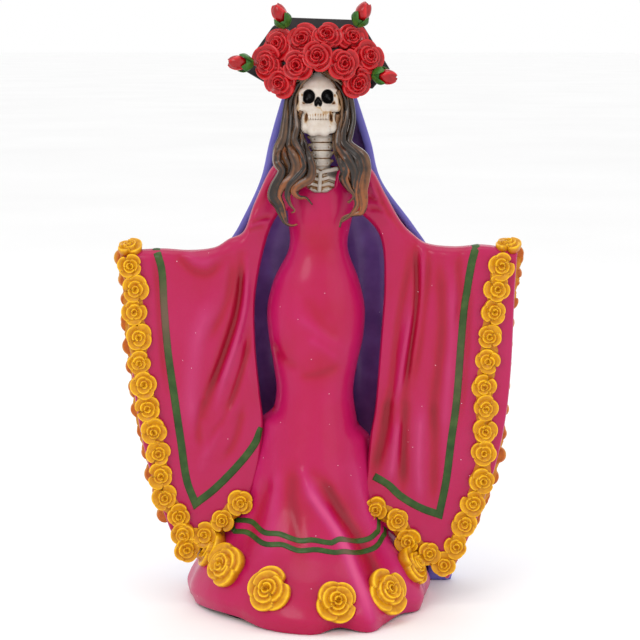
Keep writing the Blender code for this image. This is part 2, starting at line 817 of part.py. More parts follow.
def make_skull():
    """The cranium with its face bones, and eye sockets cut into it."""
    cranium = ball("skull", SKULL_CENTRE, SKULL_RADII, "bone")
    face = ball("face", SKULL_CENTRE + FACE_OFFSET, FACE_RADII, "bone", 8, 12)
    skull = union(cranium, face)
    sockets = []
    for sign in (-1, 1):
        centre = SKULL_CENTRE + Vector((sign * SOCKET_OUT, -SOCKET_DEEP, SOCKET_UP))
        sockets.append(ball(f"socket_{sign}", centre, SOCKET_RADII, "bone", 6, 8))
    skull = trim(skull, *sockets, gap=0.0)
    for socket in sockets:
        bpy.data.objects.remove(socket)
    return skull


def make_jaw():
    """The lower jaw: a horseshoe of bone with a square chin."""
    rings = []
    for height, wide, deep, middle in JAW:
        rings.append(ellipse_ring((JAW_X, middle, height), wide, deep, 14))
    return loft("jaw", rings, "bone")


def make_hair(name, sections):
    rings = []
    for height, x_from, x_to, y_from, y_to in sections:
        centre = ((x_from + x_to) / 2, (y_from + y_to) / 2, height)
        rings.append(ellipse_ring(centre, (x_to - x_from) / 2, (y_to - y_from) / 2, 12))
    return loft(name, rings, "brown")


# ---------------------------------------------------------------- hat and flowers
def brim_frame():
    """The brim's own axes: across, up its slope, and out of its front."""
    up = Vector((0, math.sin(BRIM_LEAN), math.cos(BRIM_LEAN)))
    front = Vector((0, -math.cos(BRIM_LEAN), math.sin(BRIM_LEAN)))
    return up, front


def make_brim():
    curve = bpy.data.curves.new("hat_brim", "CURVE")
    curve.dimensions = "2D"
    curve.fill_mode = "BOTH"
    curve.extrude = BRIM_THICK / 2
    spline = curve.splines.new("POLY")
    spline.points.add(len(BRIM) - 1)
    for point, (x, up) in zip(spline.points, BRIM):
        point.co = (x, up, 0.0, 1.0)
    spline.use_cyclic_u = True
    curve.materials.append(material("black"))
    obj = bpy.data.objects.new("hat_brim", curve)
    FIGURE.objects.link(obj)
    obj.location = BRIM_PIVOT
    obj.rotation_euler = (math.pi / 2 - BRIM_LEAN, 0, 0)
    return freeze(obj)


def make_crown():
    up, front = brim_frame()
    start = BRIM_THICK / 2 + GAP
    profile = [
        (0.0, CROWN_DEEP),
        (CROWN_RADIUS * 0.70, CROWN_DEEP),
        (CROWN_RADIUS * 0.93, CROWN_DEEP * 0.8),
        (CROWN_RADIUS, 0.0),
        (0.0, 0.0),
    ]
    place = BRIM_PIVOT + up * CROWN_UP - front * start
    return turned("hat_crown", profile, 20, "black", place=place, axis=-front)


def rose_profile(radius, deep):
    """A rolled rose: flat foot, bellied side, and a shallow dimple in the top."""
    return [
        (0.0, deep * 0.86),
        (radius * 0.45, deep),
        (radius * 0.86, deep * 0.88),
        (radius, deep * 0.58),
        (radius * 0.72, 0.0),
        (0.0, 0.0),
    ]


def red_rose_facing(x, z):
    return Vector((x * 0.022, -0.0010, (z - 0.2680) * 0.028)).normalized()


def make_red_roses():
    made = []
    for k, (x, y, z) in enumerate(RED_ROSES):
        facing = red_rose_facing(x, z)
        foot = Vector((x, y, z)) - facing * RED_ROSE_DEEP * 0.6
        profile = rose_profile(RED_ROSE_RADIUS, RED_ROSE_DEEP)
        made.append(turned(f"red_rose_{k + 1:02d}", profile, 12, "red", place=foot, axis=facing))
    return made


def make_buds():
    """Rosebuds with their green cups at the corners of the crown of roses."""
    cup_long = 0.0030
    made = []
    for k, (foot, direction) in enumerate(BUDS):
        axis = Vector(direction).normalized()
        foot = Vector(foot)
        cup = [(0.0, cup_long), (0.0033, cup_long), (0.0027, cup_long * 0.4), (0.0012, 0.0), (0.0, 0.0)]
        made.append(turned(f"bud_sepals_{k + 1}", cup, 10, "green", place=foot, axis=axis))
        bud = [
            (0.0, BUD_LONG),
            (BUD_RADIUS * 0.62, BUD_LONG * 0.95),
            (BUD_RADIUS, BUD_LONG * 0.55),
            (BUD_RADIUS * 0.92, BUD_LONG * 0.22),
            (0.0026, 0.0),
            (0.0, 0.0),
        ]
        place = foot + axis * (cup_long + GAP)
        made.append(turned(f"rosebud_{k + 1}", bud, 12, "red", place=place, axis=axis))
    return made


def make_hem_roses(*neighbours):
    made = []
    rise = 0.004
    for k, (degrees, height) in enumerate(HEM_ROSES):
        angle = math.radians(degrees - 90)
        centre, wide, deep = spline_through(DRESS, height)
        _, above, _ = spline_through(DRESS, height + rise)
        _, below, _ = spline_through(DRESS, height - rise)
        slope_out = (below - above) / (2 * rise)
        facing = Vector((math.cos(angle), math.sin(angle), slope_out * 0.75)).normalized()
        surface = Vector((centre + wide * math.cos(angle), deep * math.sin(angle), height))
        profile = rose_profile(HEM_ROSE_RADIUS, HEM_ROSE_DEEP)
        rose = turned(f"hem_rose_{k + 1}", profile, 14, "yellow", place=surface - facing * 0.0012, axis=facing)
        made.append(trim(rose, *neighbours))
    return made


# ---------------------------------------------------------------- assembly
def build_figure():
    post = make_post()
    trim(make_base(), post)
    wires = [arm_wire(side) for side in ("left", "right")]
    dress, flounce = make_dress()
    dress = trim(dress, *wires)
    make_core(post)
    ribbons = []
    for name, height in (("upper_skirt_ribbon", 0.0412), ("lower_skirt_ribbon", 0.0350)):
        ribbons.append(trim(ribbon_round_dress(name, height), dress, flounce))
    ribcage = trim(make_ribcage(), post, dress, *wires)
    vertebrae = [trim(bone, post) for bone in make_vertebrae()]

    skull = trim(make_skull(), post)
    jaw = trim(make_jaw(), skull, *vertebrae, post)

    sleeves = []
    for side, wire in zip(("left", "right"), wires):
        sleeves.append(trim(make_sleeve(side), dress, ribcage, flounce, wire, *ribbons))
    hem_roses = make_hem_roses(dress, flounce, *ribbons, *sleeves)
    for side, sleeve in zip(("left", "right"), sleeves):
        front_line = LEFT_FRONT_LINE if side == "left" else RIGHT_FRONT_LINE
        rear_line = LEFT_REAR_LINE if side == "left" else RIGHT_REAR_LINE
        near = [sleeve, dress, flounce, *ribbons, *hem_roses]
        trim(garland(side + "_front_garland", side, front_line, FRONT_GARLAND_BEADS, -1), *near)
        trim(garland(side + "_rear_garland", side, rear_line, REAR_GARLAND_BEADS, 1), sleeve)
        trim(sleeve_ribbon(side), sleeve)

    hair = []
    for name, sections in (("left_hair", LEFT_HAIR), ("right_hair", RIGHT_HAIR)):
        near = [skull, jaw, ribcage, dress, *vertebrae, *sleeves]
        hair.append(trim(make_hair(name, sections), *near, gap=2 * GAP))
    cape = trim(make_cape(), *hair, *sleeves, dress, flounce, gap=2 * GAP)
    brim = trim(make_brim(), skull, *hair, cape)
    trim(make_crown(), skull, *hair, cape, brim)
    flowers = []
    for piece in make_red_roses() + make_buds():
        flowers.append(trim(piece, *flowers, skull, *hair, brim, cape))


clear_scene()
FIGURE = collection_named("catrina_figure")
CUTTERS = collection_named("cutters")
build_figure()
for part in FIGURE.objects:
    part.location += CENTRING
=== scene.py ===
"""The looks of a papier-mache catrina figure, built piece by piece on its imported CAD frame.

Lengths are in millimetres in the figure's own frame, with +Z up and the front towards -Y. Each mesh is
scaled to metres and centred when it is made. Every visible piece is shaped here, rides on the one body and
stands for its CAD solid. The hidden core, base and armature keep their CAD solids.
"""

import math

import bpy
import numpy as np
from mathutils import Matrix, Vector
from mathutils.bvhtree import BVHTree


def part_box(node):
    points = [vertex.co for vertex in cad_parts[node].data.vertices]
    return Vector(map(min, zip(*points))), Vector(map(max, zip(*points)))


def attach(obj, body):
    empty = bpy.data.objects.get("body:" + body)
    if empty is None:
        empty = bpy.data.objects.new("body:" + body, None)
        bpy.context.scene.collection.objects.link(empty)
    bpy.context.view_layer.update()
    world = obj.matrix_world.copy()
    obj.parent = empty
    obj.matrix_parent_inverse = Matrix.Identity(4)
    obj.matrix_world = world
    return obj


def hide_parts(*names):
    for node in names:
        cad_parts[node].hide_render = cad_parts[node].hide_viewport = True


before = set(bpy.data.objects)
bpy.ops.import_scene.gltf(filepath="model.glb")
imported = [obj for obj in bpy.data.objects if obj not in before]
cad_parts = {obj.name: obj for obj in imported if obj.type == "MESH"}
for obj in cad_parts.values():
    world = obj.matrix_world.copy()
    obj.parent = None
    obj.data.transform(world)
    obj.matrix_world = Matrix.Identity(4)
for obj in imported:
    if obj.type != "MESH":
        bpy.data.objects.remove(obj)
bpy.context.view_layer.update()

MM = 0.001
CENTRING = np.array((-0.1, -1.7, 0.0))
TAU = 2 * math.pi
LEFT, RIGHT = "left", "right"
SIGN = {LEFT: -1, RIGHT: 1}

# ---------------------------------------------------------------- dimensions
# The dress and flounce: (height, centre x, half width, half depth)
DRESS = (
    (0.0, -6.3, 59.5, 59.5),
    (8.0, -6.3, 61.2, 61.2),
    (22.0, -6.4, 53.0, 52.5),
    (34.0, -6.0, 41.0, 41.5),
    (50.0, -5.0, 31.0, 33.0),
    (67.0, -4.5, 27.5, 28.5),
    (82.0, -3.5, 23.8, 25.0),
    (95.0, -3.0, 21.2, 22.0),
    (107.0, -2.6, 19.4, 19.8),
    (120.0, -2.4, 20.9, 19.0),
    (135.0, -2.0, 23.7, 19.0),
    (150.0, -2.0, 24.4, 18.5),
    (164.0, -1.8, 21.1, 16.5),
    (180.0, -0.8, 14.6, 12.5),
    (195.0, 0.0, 16.0, 13.0),
    (207.0, 0.5, 17.5, 12.5),
    (220.0, 0.8, 17.0, 9.5),
)
PAPER = 2.0
DRESS_COLUMNS, DRESS_ROWS, FLOUNCE_ROWS = 260, 230, 70
INNER_ROWS, RIM_STEPS = 14, 5
FLOUNCE_FOOT, FLOUNCE_FRONT, FLOUNCE_RISE = 0.9, 36.5, 11.0
FLOUNCE_SEAM = 0.15
NECK_FRONT, NECK_BACK = 207.4, 219.0
# Where the dress spreads towards the sleeves: (degrees from the front, reach, height at which it ends)
WINGS = ((-90, 6.2, 99), (90, 5.0, 91))
RIBBON_HIGH, RIBBON_THICK = 2.8, 0.35
# The ridge line of each sleeve: (share along the arm, x outwards, height)
RIDGES = {
    LEFT: (
        (0.00, 13.5, 222.5), (0.08, 22.5, 221.5), (0.20, 32.2, 203.0), (0.32, 37.8, 188.5),
        (0.42, 45.0, 184.8), (0.52, 52.0, 180.8), (0.65, 64.0, 179.7), (0.80, 78.0, 180.5),
        (1.00, 96.0, 179.5),
    ),
    RIGHT: (
        (0.00, 14.0, 221.5), (0.08, 24.0, 220.5), (0.20, 32.5, 206.5), (0.32, 40.0, 193.5),
        (0.42, 46.0, 187.2), (0.52, 53.0, 182.8), (0.65, 66.5, 181.5), (0.80, 80.0, 182.5),
        (1.00, 96.5, 180.0),
    ),
}
# The lower edge of each sleeve: (share along the arm, x outwards, height)
LOWERS = {
    LEFT: (
        (0.00, 13.5, 198.5), (0.08, 20.5, 196.5), (0.20, 26.8, 183.0), (0.32, 32.2, 156.0),
        (0.42, 32.2, 130.0), (0.48, 30.0, 106.3), (0.54, 28.5, 90.0), (0.60, 31.0, 68.0),
        (0.66, 36.5, 52.0), (0.80, 52.0, 36.5), (1.00, 69.0, 23.0),
    ),
    RIGHT: (
        (0.00, 14.0, 198.5), (0.08, 20.0, 197.0), (0.20, 30.0, 185.0), (0.32, 32.0, 162.0),
        (0.42, 30.0, 130.0), (0.48, 27.7, 100.0), (0.54, 25.2, 85.0), (0.60, 23.5, 67.0),
        (0.66, 22.0, 51.5), (0.80, 36.5, 35.0), (1.00, 64.0, 11.8),
    ),
}
SLEEVE_BOW = {LEFT: 8.5, RIGHT: 12.0}
SLEEVE_HEM = 3.6
STRIPE_WIDE, STRIPE_THICK = 4.0, 0.30
# The section of a ribbon or stripe: (share of half its width, share of its thickness)
STRIP_SECTION = ((-1.0, -0.6), (-0.93, 0.6), (-0.7, 1.0), (0.0, 1.08), (0.7, 1.0), (0.93, 0.6), (1.0, -0.6))
# Along the arm, from shoulder to cuff: the y of the sleeve's middle, and half its thickness
SLEEVE_MIDDLE_Y = ((0.00, -0.5), (0.20, -3.0), (0.45, -6.0), (0.66, -10.0), (1.00, -10.5))
SLEEVE_HALF_THICK = ((0.00, 6.5), (0.30, 6.2), (0.60, 5.5), (1.00, 5.2))
# The rear garlands, as (x outwards, height)
REAR_LINES = {
    LEFT: (
        (95.8, 176.0), (95.4, 162.0), (94.4, 145.6), (91.4, 119.2), (89.0, 96.5), (83.8, 72.4),
        (77.0, 45.0),
    ),
    RIGHT: (
        (96.8, 177.0), (94.8, 163.0), (91.0, 138.8), (89.4, 105.8), (88.0, 80.3), (84.8, 64.0),
        (76.5, 43.0),
    ),
}
REAR_ROSES = 13
FRONT_ROSE_RADIUS, FRONT_ROSE_DEEP = 6.3, 5.4
REAR_ROSE_RADIUS, REAR_ROSE_DEEP = 5.9, 5.0
ROSE_SINK = 0.6
# The cape: (height, left edge x, right edge x, y of the two edges, y of the middle of the back)
CAPE = (
    (0.5, -67.2, 69.0, 25.0, 68.0),
    (8.0, -66.8, 70.5, 25.0, 68.0),
    (22.0, -58.0, 66.5, 23.0, 62.0),
    (36.0, -50.5, 63.0, 20.5, 55.0),
    (60.0, -49.0, 60.0, 17.0, 46.0),
    (100.0, -50.5, 58.0, 13.5, 37.0),
    (140.0, -51.5, 57.0, 12.5, 32.5),
    (175.0, -49.0, 56.0, 12.0, 29.0),
    (189.2, -41.0, 47.5, 11.5, 27.0),
    (212.4, -30.0, 30.8, 10.0, 24.0),
    (232.0, -25.2, 25.4, 8.0, 22.0),
    (254.0, -18.7, 18.2, 4.0, 20.0),
    (260.0, -16.0, 15.8, 5.0, 19.0),
)
CAPE_PAPER = 1.8
# The mass of hair, in level sections: (height, x from, x to, y from, y to)
LEFT_HAIR = (
    (269.0, -6.0, -2.0, -9.0, 4.0),
    (262.0, -14.8, -4.0, -12.5, 8.0),
    (254.0, -17.8, -9.5, -12.5, 7.0),
    (243.0, -18.2, -10.0, -12.0, 6.0),
    (235.0, -19.1, -6.8, -12.0, 5.0),
    (226.0, -22.1, -4.0, -13.0, 4.0),
    (216.0, -19.1, -3.6, -15.5, 0.0),
    (206.0, -23.7, -4.5, -18.0, -6.0),
    (198.0, -21.5, -8.5, -18.5, -8.0),
    (190.5, -18.0, -11.2, -17.5, -11.0),
)
RIGHT_HAIR = (
    (269.0, 1.2, 5.5, -9.0, 4.0),
    (262.0, 3.0, 12.5, -12.5, 8.0),
    (254.0, 8.5, 16.0, -12.5, 7.0),
    (243.0, 9.0, 16.6, -12.0, 6.0),
    (235.0, 6.6, 16.0, -12.0, 5.0),
    (226.0, 6.6, 21.5, -13.0, 4.0),
    (216.0, 10.5, 22.4, -15.5, 0.0),
    (206.0, 12.5, 21.7, -18.0, -6.0),
    (198.0, 12.0, 20.5, -18.5, -8.0),
    (190.5, 9.5, 15.0, -17.5, -11.0),
)
HAIR_MASS_FOOT, HAIR_NARROW = 208.0, 0.97
# Each lock inwards is a little narrower than the one before it, and a thinner strand lies between the two
LOCK_WIDE, LOCK_THICK, LOCK_LOSS = 5.2, 3.4, 0.35
BETWEEN_WIDE, BETWEEN_THICK = 4.0, 2.8
# The strands between locks end at this point of 40, and the third one starts late, to keep clear of the eye
BETWEEN_POINTS, BETWEEN_END, LATE_STRAND, LATE_START = 40, 33, 3, 10
FACE_MIDDLE, JAW_MIDDLE = -0.7, -0.6
SKULL_NARROW, JAW_NARROW = 0.96, 0.86
TEETH, TEETH_MIDDLE = 8, -0.9
# How much larger the black paint of a hole is than the hole, along each axis
HOLE_PAINT = (1.02, 1.5, 1.02)
BRIM_PIVOT = (0.0, 4.5, 266.0)
BRIM_LEAN = math.radians(28)
BRIM_THICK = 1.6
CROWN_UP = 11.0
SEAM = 0.3
# The brim, as (x, distance up the brim from its pivot)
BRIM = (
    (-17.8, 30.6), (16.6, 29.2), (22.2, 25.0), (34.5, 2.0), (26.0, -8.5), (-26.2, -6.0), (-36.3, 0.6),
    (-33.5, 9.8), (-23.8, 25.2),
)
# The section of the brim's edge: (distance in from the edge, share of the thickness)
BRIM_EDGE = (
    (30, 0.5), (0.8, 0.5), (0.35, 0.46), (0.1, 0.33), (0, 0.0), (0.1, -0.33), (0.35, -0.46), (0.8, -0.5),
    (30, -0.5),
)
# The crown, as (radius, distance from the brim)
CROWN = (
    (0.3, 8.5), (6.0, 8.5), (8.6, 8.35), (10.2, 7.9), (11.0, 7.0), (11.4, 5.6), (11.6, 3.2), (12.0, 3.1),
    (12.1, 2.6), (12.1, 0.8), (12.0, 0.0), (0.3, 0.0),
)
RED_ROSE_RADIUS, RED_ROSE_DEEP, RED_ROSE_SINK = 7.812, 7.7, 4.34
# The middles of the red roses
RED_ROSES = (
    (-20.4, -7.0, 280.0), (-8.4, -10.0, 282.4), (3.4, -10.5, 284.2), (15.6, -7.5, 282.8),
    (-25.8, -8.5, 271.2), (-11.0, -16.0, 270.2), (-1.3, -18.5, 274.5), (11.3, -16.5, 270.8),
    (23.6, -8.5, 273.8), (-19.6, -11.0, 262.0), (17.9, -11.0, 261.4),
)
BUD_LONG, BUD_RISE, BUD_COLUMNS = 8.2, 2.6, 60
SEPALS, SEPAL_WIDE, SEPAL_ROWS = 4, 4.6, 24
# The cup that the sepals grow from, as (radius, height)
SEPAL_CUP = ((0.3, -0.9), (1.3, -0.8), (2.2, 0.2), (2.9, 1.6), (3.3, 3.0), (2.7, 2.8), (0.3, 2.2))
# A bud's outline, as (share of its length, radius)
BUD_OUTLINE = ((0, 1.9), (0.2, 3.35), (0.45, 3.85), (0.7, 3.5), (0.9, 2.6), (1.0, 1.5))
# Rosebuds: (foot of the bud, direction of growth)
BUDS = (
    ((-16.8, -6.0, 288.8), (-0.42, -0.15, 0.9)),
    ((18.2, -6.0, 289.5), (0.42, -0.15, 0.9)),
    ((-33.3, -9.0, 270.8), (-0.98, -0.15, 0.06)),
    ((26.2, -9.5, 265.5), (0.93, -0.15, -0.16)),
)
HEM_ROSE_RADIUS, HEM_ROSE_DEEP, HEM_ROSE_SINK = 11.0, 8.5, 1.4
# Roses round the hem: (degrees from the front, height, share of the full radius)
HEM_ROSES = (
    (-78, 27.5, 1.0), (-51, 24.0, 1.0), (-18.5, 18.8, 1.0), (13.5, 13.4, 1.0), (41, 14.8, 1.0),
    (69, 20.0, 0.85),
)
VERTEBRAE, VERTEBRA_HIGH, NECK_FOOT = 4, 3.6, 220.9
CAMERA_AT = (0.0, -890.0, 284.0)
CAMERA_TILT, CAMERA_LENS, CAMERA_SENSOR = 9.0, 100.9, 36
# The lamps, in metres and watts: (name, place, size, power)
LAMPS = (
    ("key", (-0.55, -0.95, 0.85), 0.55, 2.6),
    ("fill", (0.75, -0.80, 0.45), 0.8, 0.8),
    ("top", (0.0, -0.10, 1.20), 0.7, 1.4),
    ("back", (0.2, 0.95, 0.75), 0.8, 1.0),
)
LAMPS_AIM = (0, 0, 0.16)
FLOOR_HALF = 30.0

# The hem's waves: (degrees from the front towards the figure's left hand, share of the radius, lift)
HEM_WAVES = (
    (-180, 0.98, 0.0), (-120, 0.99, 0.0), (-90, 1.01, 0.0), (-70, 0.98, 1.0), (-50, 0.95, 2.4),
    (-36, 0.94, 2.2), (-22, 1.00, 0.6), (-8, 1.05, 0.0), (4, 1.07, 0.0), (15, 1.01, 1.6), (26, 1.13, 0.0),
    (38, 1.04, 0.4), (52, 0.99, 1.2), (64, 1.04, 0.2), (74, 1.00, 1.4), (85, 1.02, 0.3), (120, 0.98, 0.0),
    (180, 0.98, 0.0),
)
# Folds on the front of the dress: (height, width, line of (x, height))
DRESS_FOLDS = (
    (-0.7, 2.6, ((-24.7, 133.3), (-21.7, 128.0), (-17.2, 124.1), (-10.4, 122.2))),
    (-0.6, 2.4, ((-11.2, 117.2), (-2.1, 118.4), (8.4, 121.8), (11.4, 124.1))),
    (0.5, 2.6, ((-11.9, 147.8), (-2.1, 141.0), (3.9, 136.4), (12.9, 131.8))),
    (0.5, 2.2, ((-6.6, 137.1), (3.9, 130.3), (9.9, 124.9))),
    (-0.4, 3.4, ((-8.1, 158.4), (-2.1, 149.3), (3.9, 141.0), (11.4, 134.8))),
    (2.5, 2.8, (
        (-8.5, 70.7), (-3.0, 59.2), (2.6, 51.5), (10.1, 40.9), (15.8, 29.2), (21.5, 16.6), (27.0, 2.0),
    )),
    (-1.8, 3.0, ((-3.0, 70.7), (2.6, 65.0), (11.1, 49.6), (18.6, 38.9), (27.2, 24.0), (34.0, 10.0))),
    (-0.9, 3.0, ((-23.5, 67.8), (-28.2, 56.3), (-31.0, 47.6), (-38.0, 30.0))),
    (-1.0, 3.6, ((-13.2, 74.0), (-14.2, 59.2), (-12.3, 46.0), (-9.0, 30.0))),
    (0.8, 3.6, ((-21.0, 74.0), (-22.5, 58.0), (-24.0, 44.0), (-27.0, 30.0))),
    (0.7, 3.0, ((18.0, 72.0), (21.0, 56.0), (27.0, 42.0), (38.0, 26.0), (46.0, 10.0))),
)
# Patches of painted shade, in crimson, on the front of the dress: (x, height, size, depth of tone)
DRESS_SHADE_SPOTS = (
    (0.9, 183.0, 9.0, 0.30),
    (5.4, 150.0, 9.0, 0.22),
    (0.9, 122.6, 8.0, 0.28),
    (-19.5, 129.9, 6.0, 0.30),
    (-8.0, 52.0, 8.0, 0.20),
    (14.0, 52.0, 8.0, 0.20),
    (0.0, 8.0, 16.0, 0.15),
)
# Folds on the front of the sleeves: (height, width, line of (x, height))
SLEEVE_FOLDS = {
    LEFT: (
        (-0.9, 2.2, (
            (-43.5, 175.4), (-43.5, 166.4), (-45.1, 156.7), (-48.2, 148.3), (-52.4, 140.4), (-56.7, 133.1),
        )),
        (-2.1, 2.3, (
            (-38.7, 177.4), (-39.1, 165.2), (-41.6, 148.3), (-48.3, 127.0), (-55.1, 108.6), (-57.6, 97.0),
        )),
        (1.2, 1.8, ((-36.2, 174.4), (-37.0, 154.3), (-40.0, 139.2), (-48.0, 114.8), (-51.6, 100.5))),
        (-1.5, 1.8, (
            (-34.6, 140.1), (-37.0, 127.0), (-41.2, 112.8), (-46.8, 97.7), (-53.5, 87.1), (-57.2, 74.7),
        )),
        (1.2, 2.2, ((-42.5, 103.4), (-49.2, 94.1), (-55.4, 81.2), (-59.1, 70.2))),
        (-0.9, 2.0, ((-38.3, 100.7), (-42.0, 85.0), (-48.8, 73.5))),
        (-1.0, 2.0, ((-57.3, 107.4), (-60.4, 93.1), (-60.3, 79.7))),
        (-0.8, 1.6, ((-81.8, 179.0), (-80.2, 160.4), (-78.6, 130.1), (-75.9, 108.7))),
        (-0.9, 2.4, ((-70.7, 178.8), (-63.1, 170.4), (-54.5, 168.4), (-46.9, 176.2))),
        (0.8, 2.4, ((-66.7, 180.8), (-59.1, 174.4), (-51.5, 175.4))),
        (1.1, 4.5, ((-52.0, 158.0), (-60.0, 138.0), (-64.0, 110.0), (-63.0, 84.0))),
        (-0.7, 1.3, ((-34.5, 192.7), (-29.2, 194.9), (-23.2, 195.7))),
        (0.5, 1.2, ((-35.5, 190.8), (-29.2, 193.0), (-23.2, 193.7))),
        (-0.6, 1.3, ((-36.0, 189.0), (-30.9, 190.6), (-26.9, 191.0))),
        (-0.5, 2.0, ((-22.5, 214.0), (-28.0, 205.0), (-34.0, 196.0))),
    ),
    RIGHT: (
        (-1.0, 2.0, (
            (43.8, 183.2), (43.9, 172.4), (41.0, 156.7), (38.7, 142.2), (35.9, 114.8), (33.0, 93.2),
        )),
        (-2.0, 2.0, ((46.8, 184.8), (47.8, 172.4), (48.1, 154.3), (44.3, 123.9), (41.6, 103.6))),
        (1.1, 1.8, ((45.2, 150.2), (41.2, 123.9), (38.2, 103.6))),
        (-1.1, 1.8, ((53.0, 182.6), (53.2, 169.4), (51.1, 148.3), (46.5, 111.7))),
        (0.9, 1.8, ((50.2, 182.6), (50.4, 169.4), (49.6, 148.3), (45.0, 116.7))),
        (-1.2, 3.0, ((58.8, 176.4), (60.2, 154.3), (60.4, 136.1), (56.0, 93.2))),
        (-0.9, 2.0, ((68.8, 179.6), (68.3, 170.6), (69.4, 156.7), (67.0, 140.0))),
        (-0.8, 1.7, ((74.6, 164.4), (72.0, 111.7), (69.4, 93.2))),
        (-1.8, 3.0, ((34.8, 107.4), (32.5, 90.0), (26.5, 64.2))),
        (-1.7, 2.4, ((43.2, 107.4), (42.1, 90.0), (41.8, 56.3))),
        (-1.3, 2.6, ((56.5, 107.4), (57.3, 86.9), (57.0, 50.6))),
        (1.3, 2.4, ((39.1, 95.1), (36.6, 74.5), (34.2, 61.1))),
        (1.2, 2.6, ((50.5, 101.2), (49.2, 74.5), (49.9, 50.6))),
        (0.9, 2.6, ((64.0, 170.0), (65.0, 140.0), (63.0, 110.0), (62.0, 80.0))),
        (-0.7, 1.3, ((21.9, 206.3), (27.9, 204.0), (31.7, 200.2))),
        (-0.6, 1.3, ((23.4, 200.2), (31.0, 198.7), (35.0, 194.0))),
        (-0.6, 1.2, ((26.4, 214.5), (30.9, 203.2), (37.8, 192.7), (43.1, 185.9))),
        (0.5, 1.2, ((24.0, 214.0), (28.9, 202.7), (35.8, 191.2))),
    ),
}
# The two ribbons' lines on the front of the skirt, as (x, height)
UPPER_RIBBON_LINE = (
    (-41.4, 50.9), (-33.9, 50.0), (-27.4, 44.6), (-19.9, 43.7), (-9.6, 40.3), (-2.9, 40.7), (6.4, 39.3),
    (11.1, 41.2), (19.5, 40.3), (25.2, 41.8), (28.9, 45.6),
)
LOWER_RIBBON_LINE = (
    (-42.1, 46.1), (-35.5, 45.4), (-27.2, 39.7), (-17.9, 39.2), (-9.5, 36.3), (-1.1, 36.8), (8.2, 35.3),
    (12.9, 35.8), (21.3, 35.8), (27.8, 38.2), (32.0, 45.4),
)
# The green stripes' centre lines on the sleeves, as (x, height): down to the corner, then up from it
STRIPES = {
    LEFT: (
        (
            (-80.4, 180.5), (-77.9, 170.3), (-77.0, 151.6), (-75.4, 129.8), (-72.2, 105.0), (-69.5, 84.5),
            (-66.7, 64.0), (-62.5, 52.0),
        ),
        ((-62.5, 52.0), (-52.7, 59.8), (-40.0, 73.0), (-32.5, 83.0), (-29.2, 91.0)),
    ),
    RIGHT: (
        (
            (76.6, 182.0), (74.4, 173.0), (71.6, 154.0), (70.0, 135.8), (68.0, 105.0), (65.5, 84.5),
            (63.2, 64.0), (59.9, 46.4),
        ),
        ((59.9, 46.4), (50.3, 50.0), (40.2, 56.2), (34.0, 62.0), (27.0, 66.2)),
    ),
}
# Where the stripes are worn: (depth of wear, height, half length)
STRIPE_WEAR = {LEFT: (0.85, 148, 15), RIGHT: (0.25, 120, 20)}
# The roses of the front garlands, as (x, height), from the ridge down and round the corner
FRONT_ROSES = {
    LEFT: (
        (-93.9, 181.4), (-93.5, 172.4), (-91.0, 161.3), (-91.2, 150.2), (-89.6, 137.0), (-89.7, 125.0),
        (-87.3, 113.0), (-85.6, 101.0), (-82.8, 90.0), (-80.8, 78.0), (-79.8, 67.0), (-78.0, 55.7),
        (-70.9, 46.4), (-68.6, 37.6), (-67.5, 29.4), (-57.7, 36.3), (-49.0, 44.0), (-39.8, 53.3),
    ),
    RIGHT: (
        (94.3, 183.8), (88.9, 172.7), (86.9, 161.0), (85.0, 149.5), (83.7, 137.4), (83.6, 125.5),
        (81.4, 113.0), (81.8, 101.7), (81.7, 89.4), (81.8, 79.0), (80.5, 64.5), (76.7, 52.6), (72.6, 42.0),
        (68.2, 30.6), (62.5, 20.5), (54.2, 26.8), (44.4, 33.8), (38.2, 43.8), (28.1, 50.2),
    ),
}
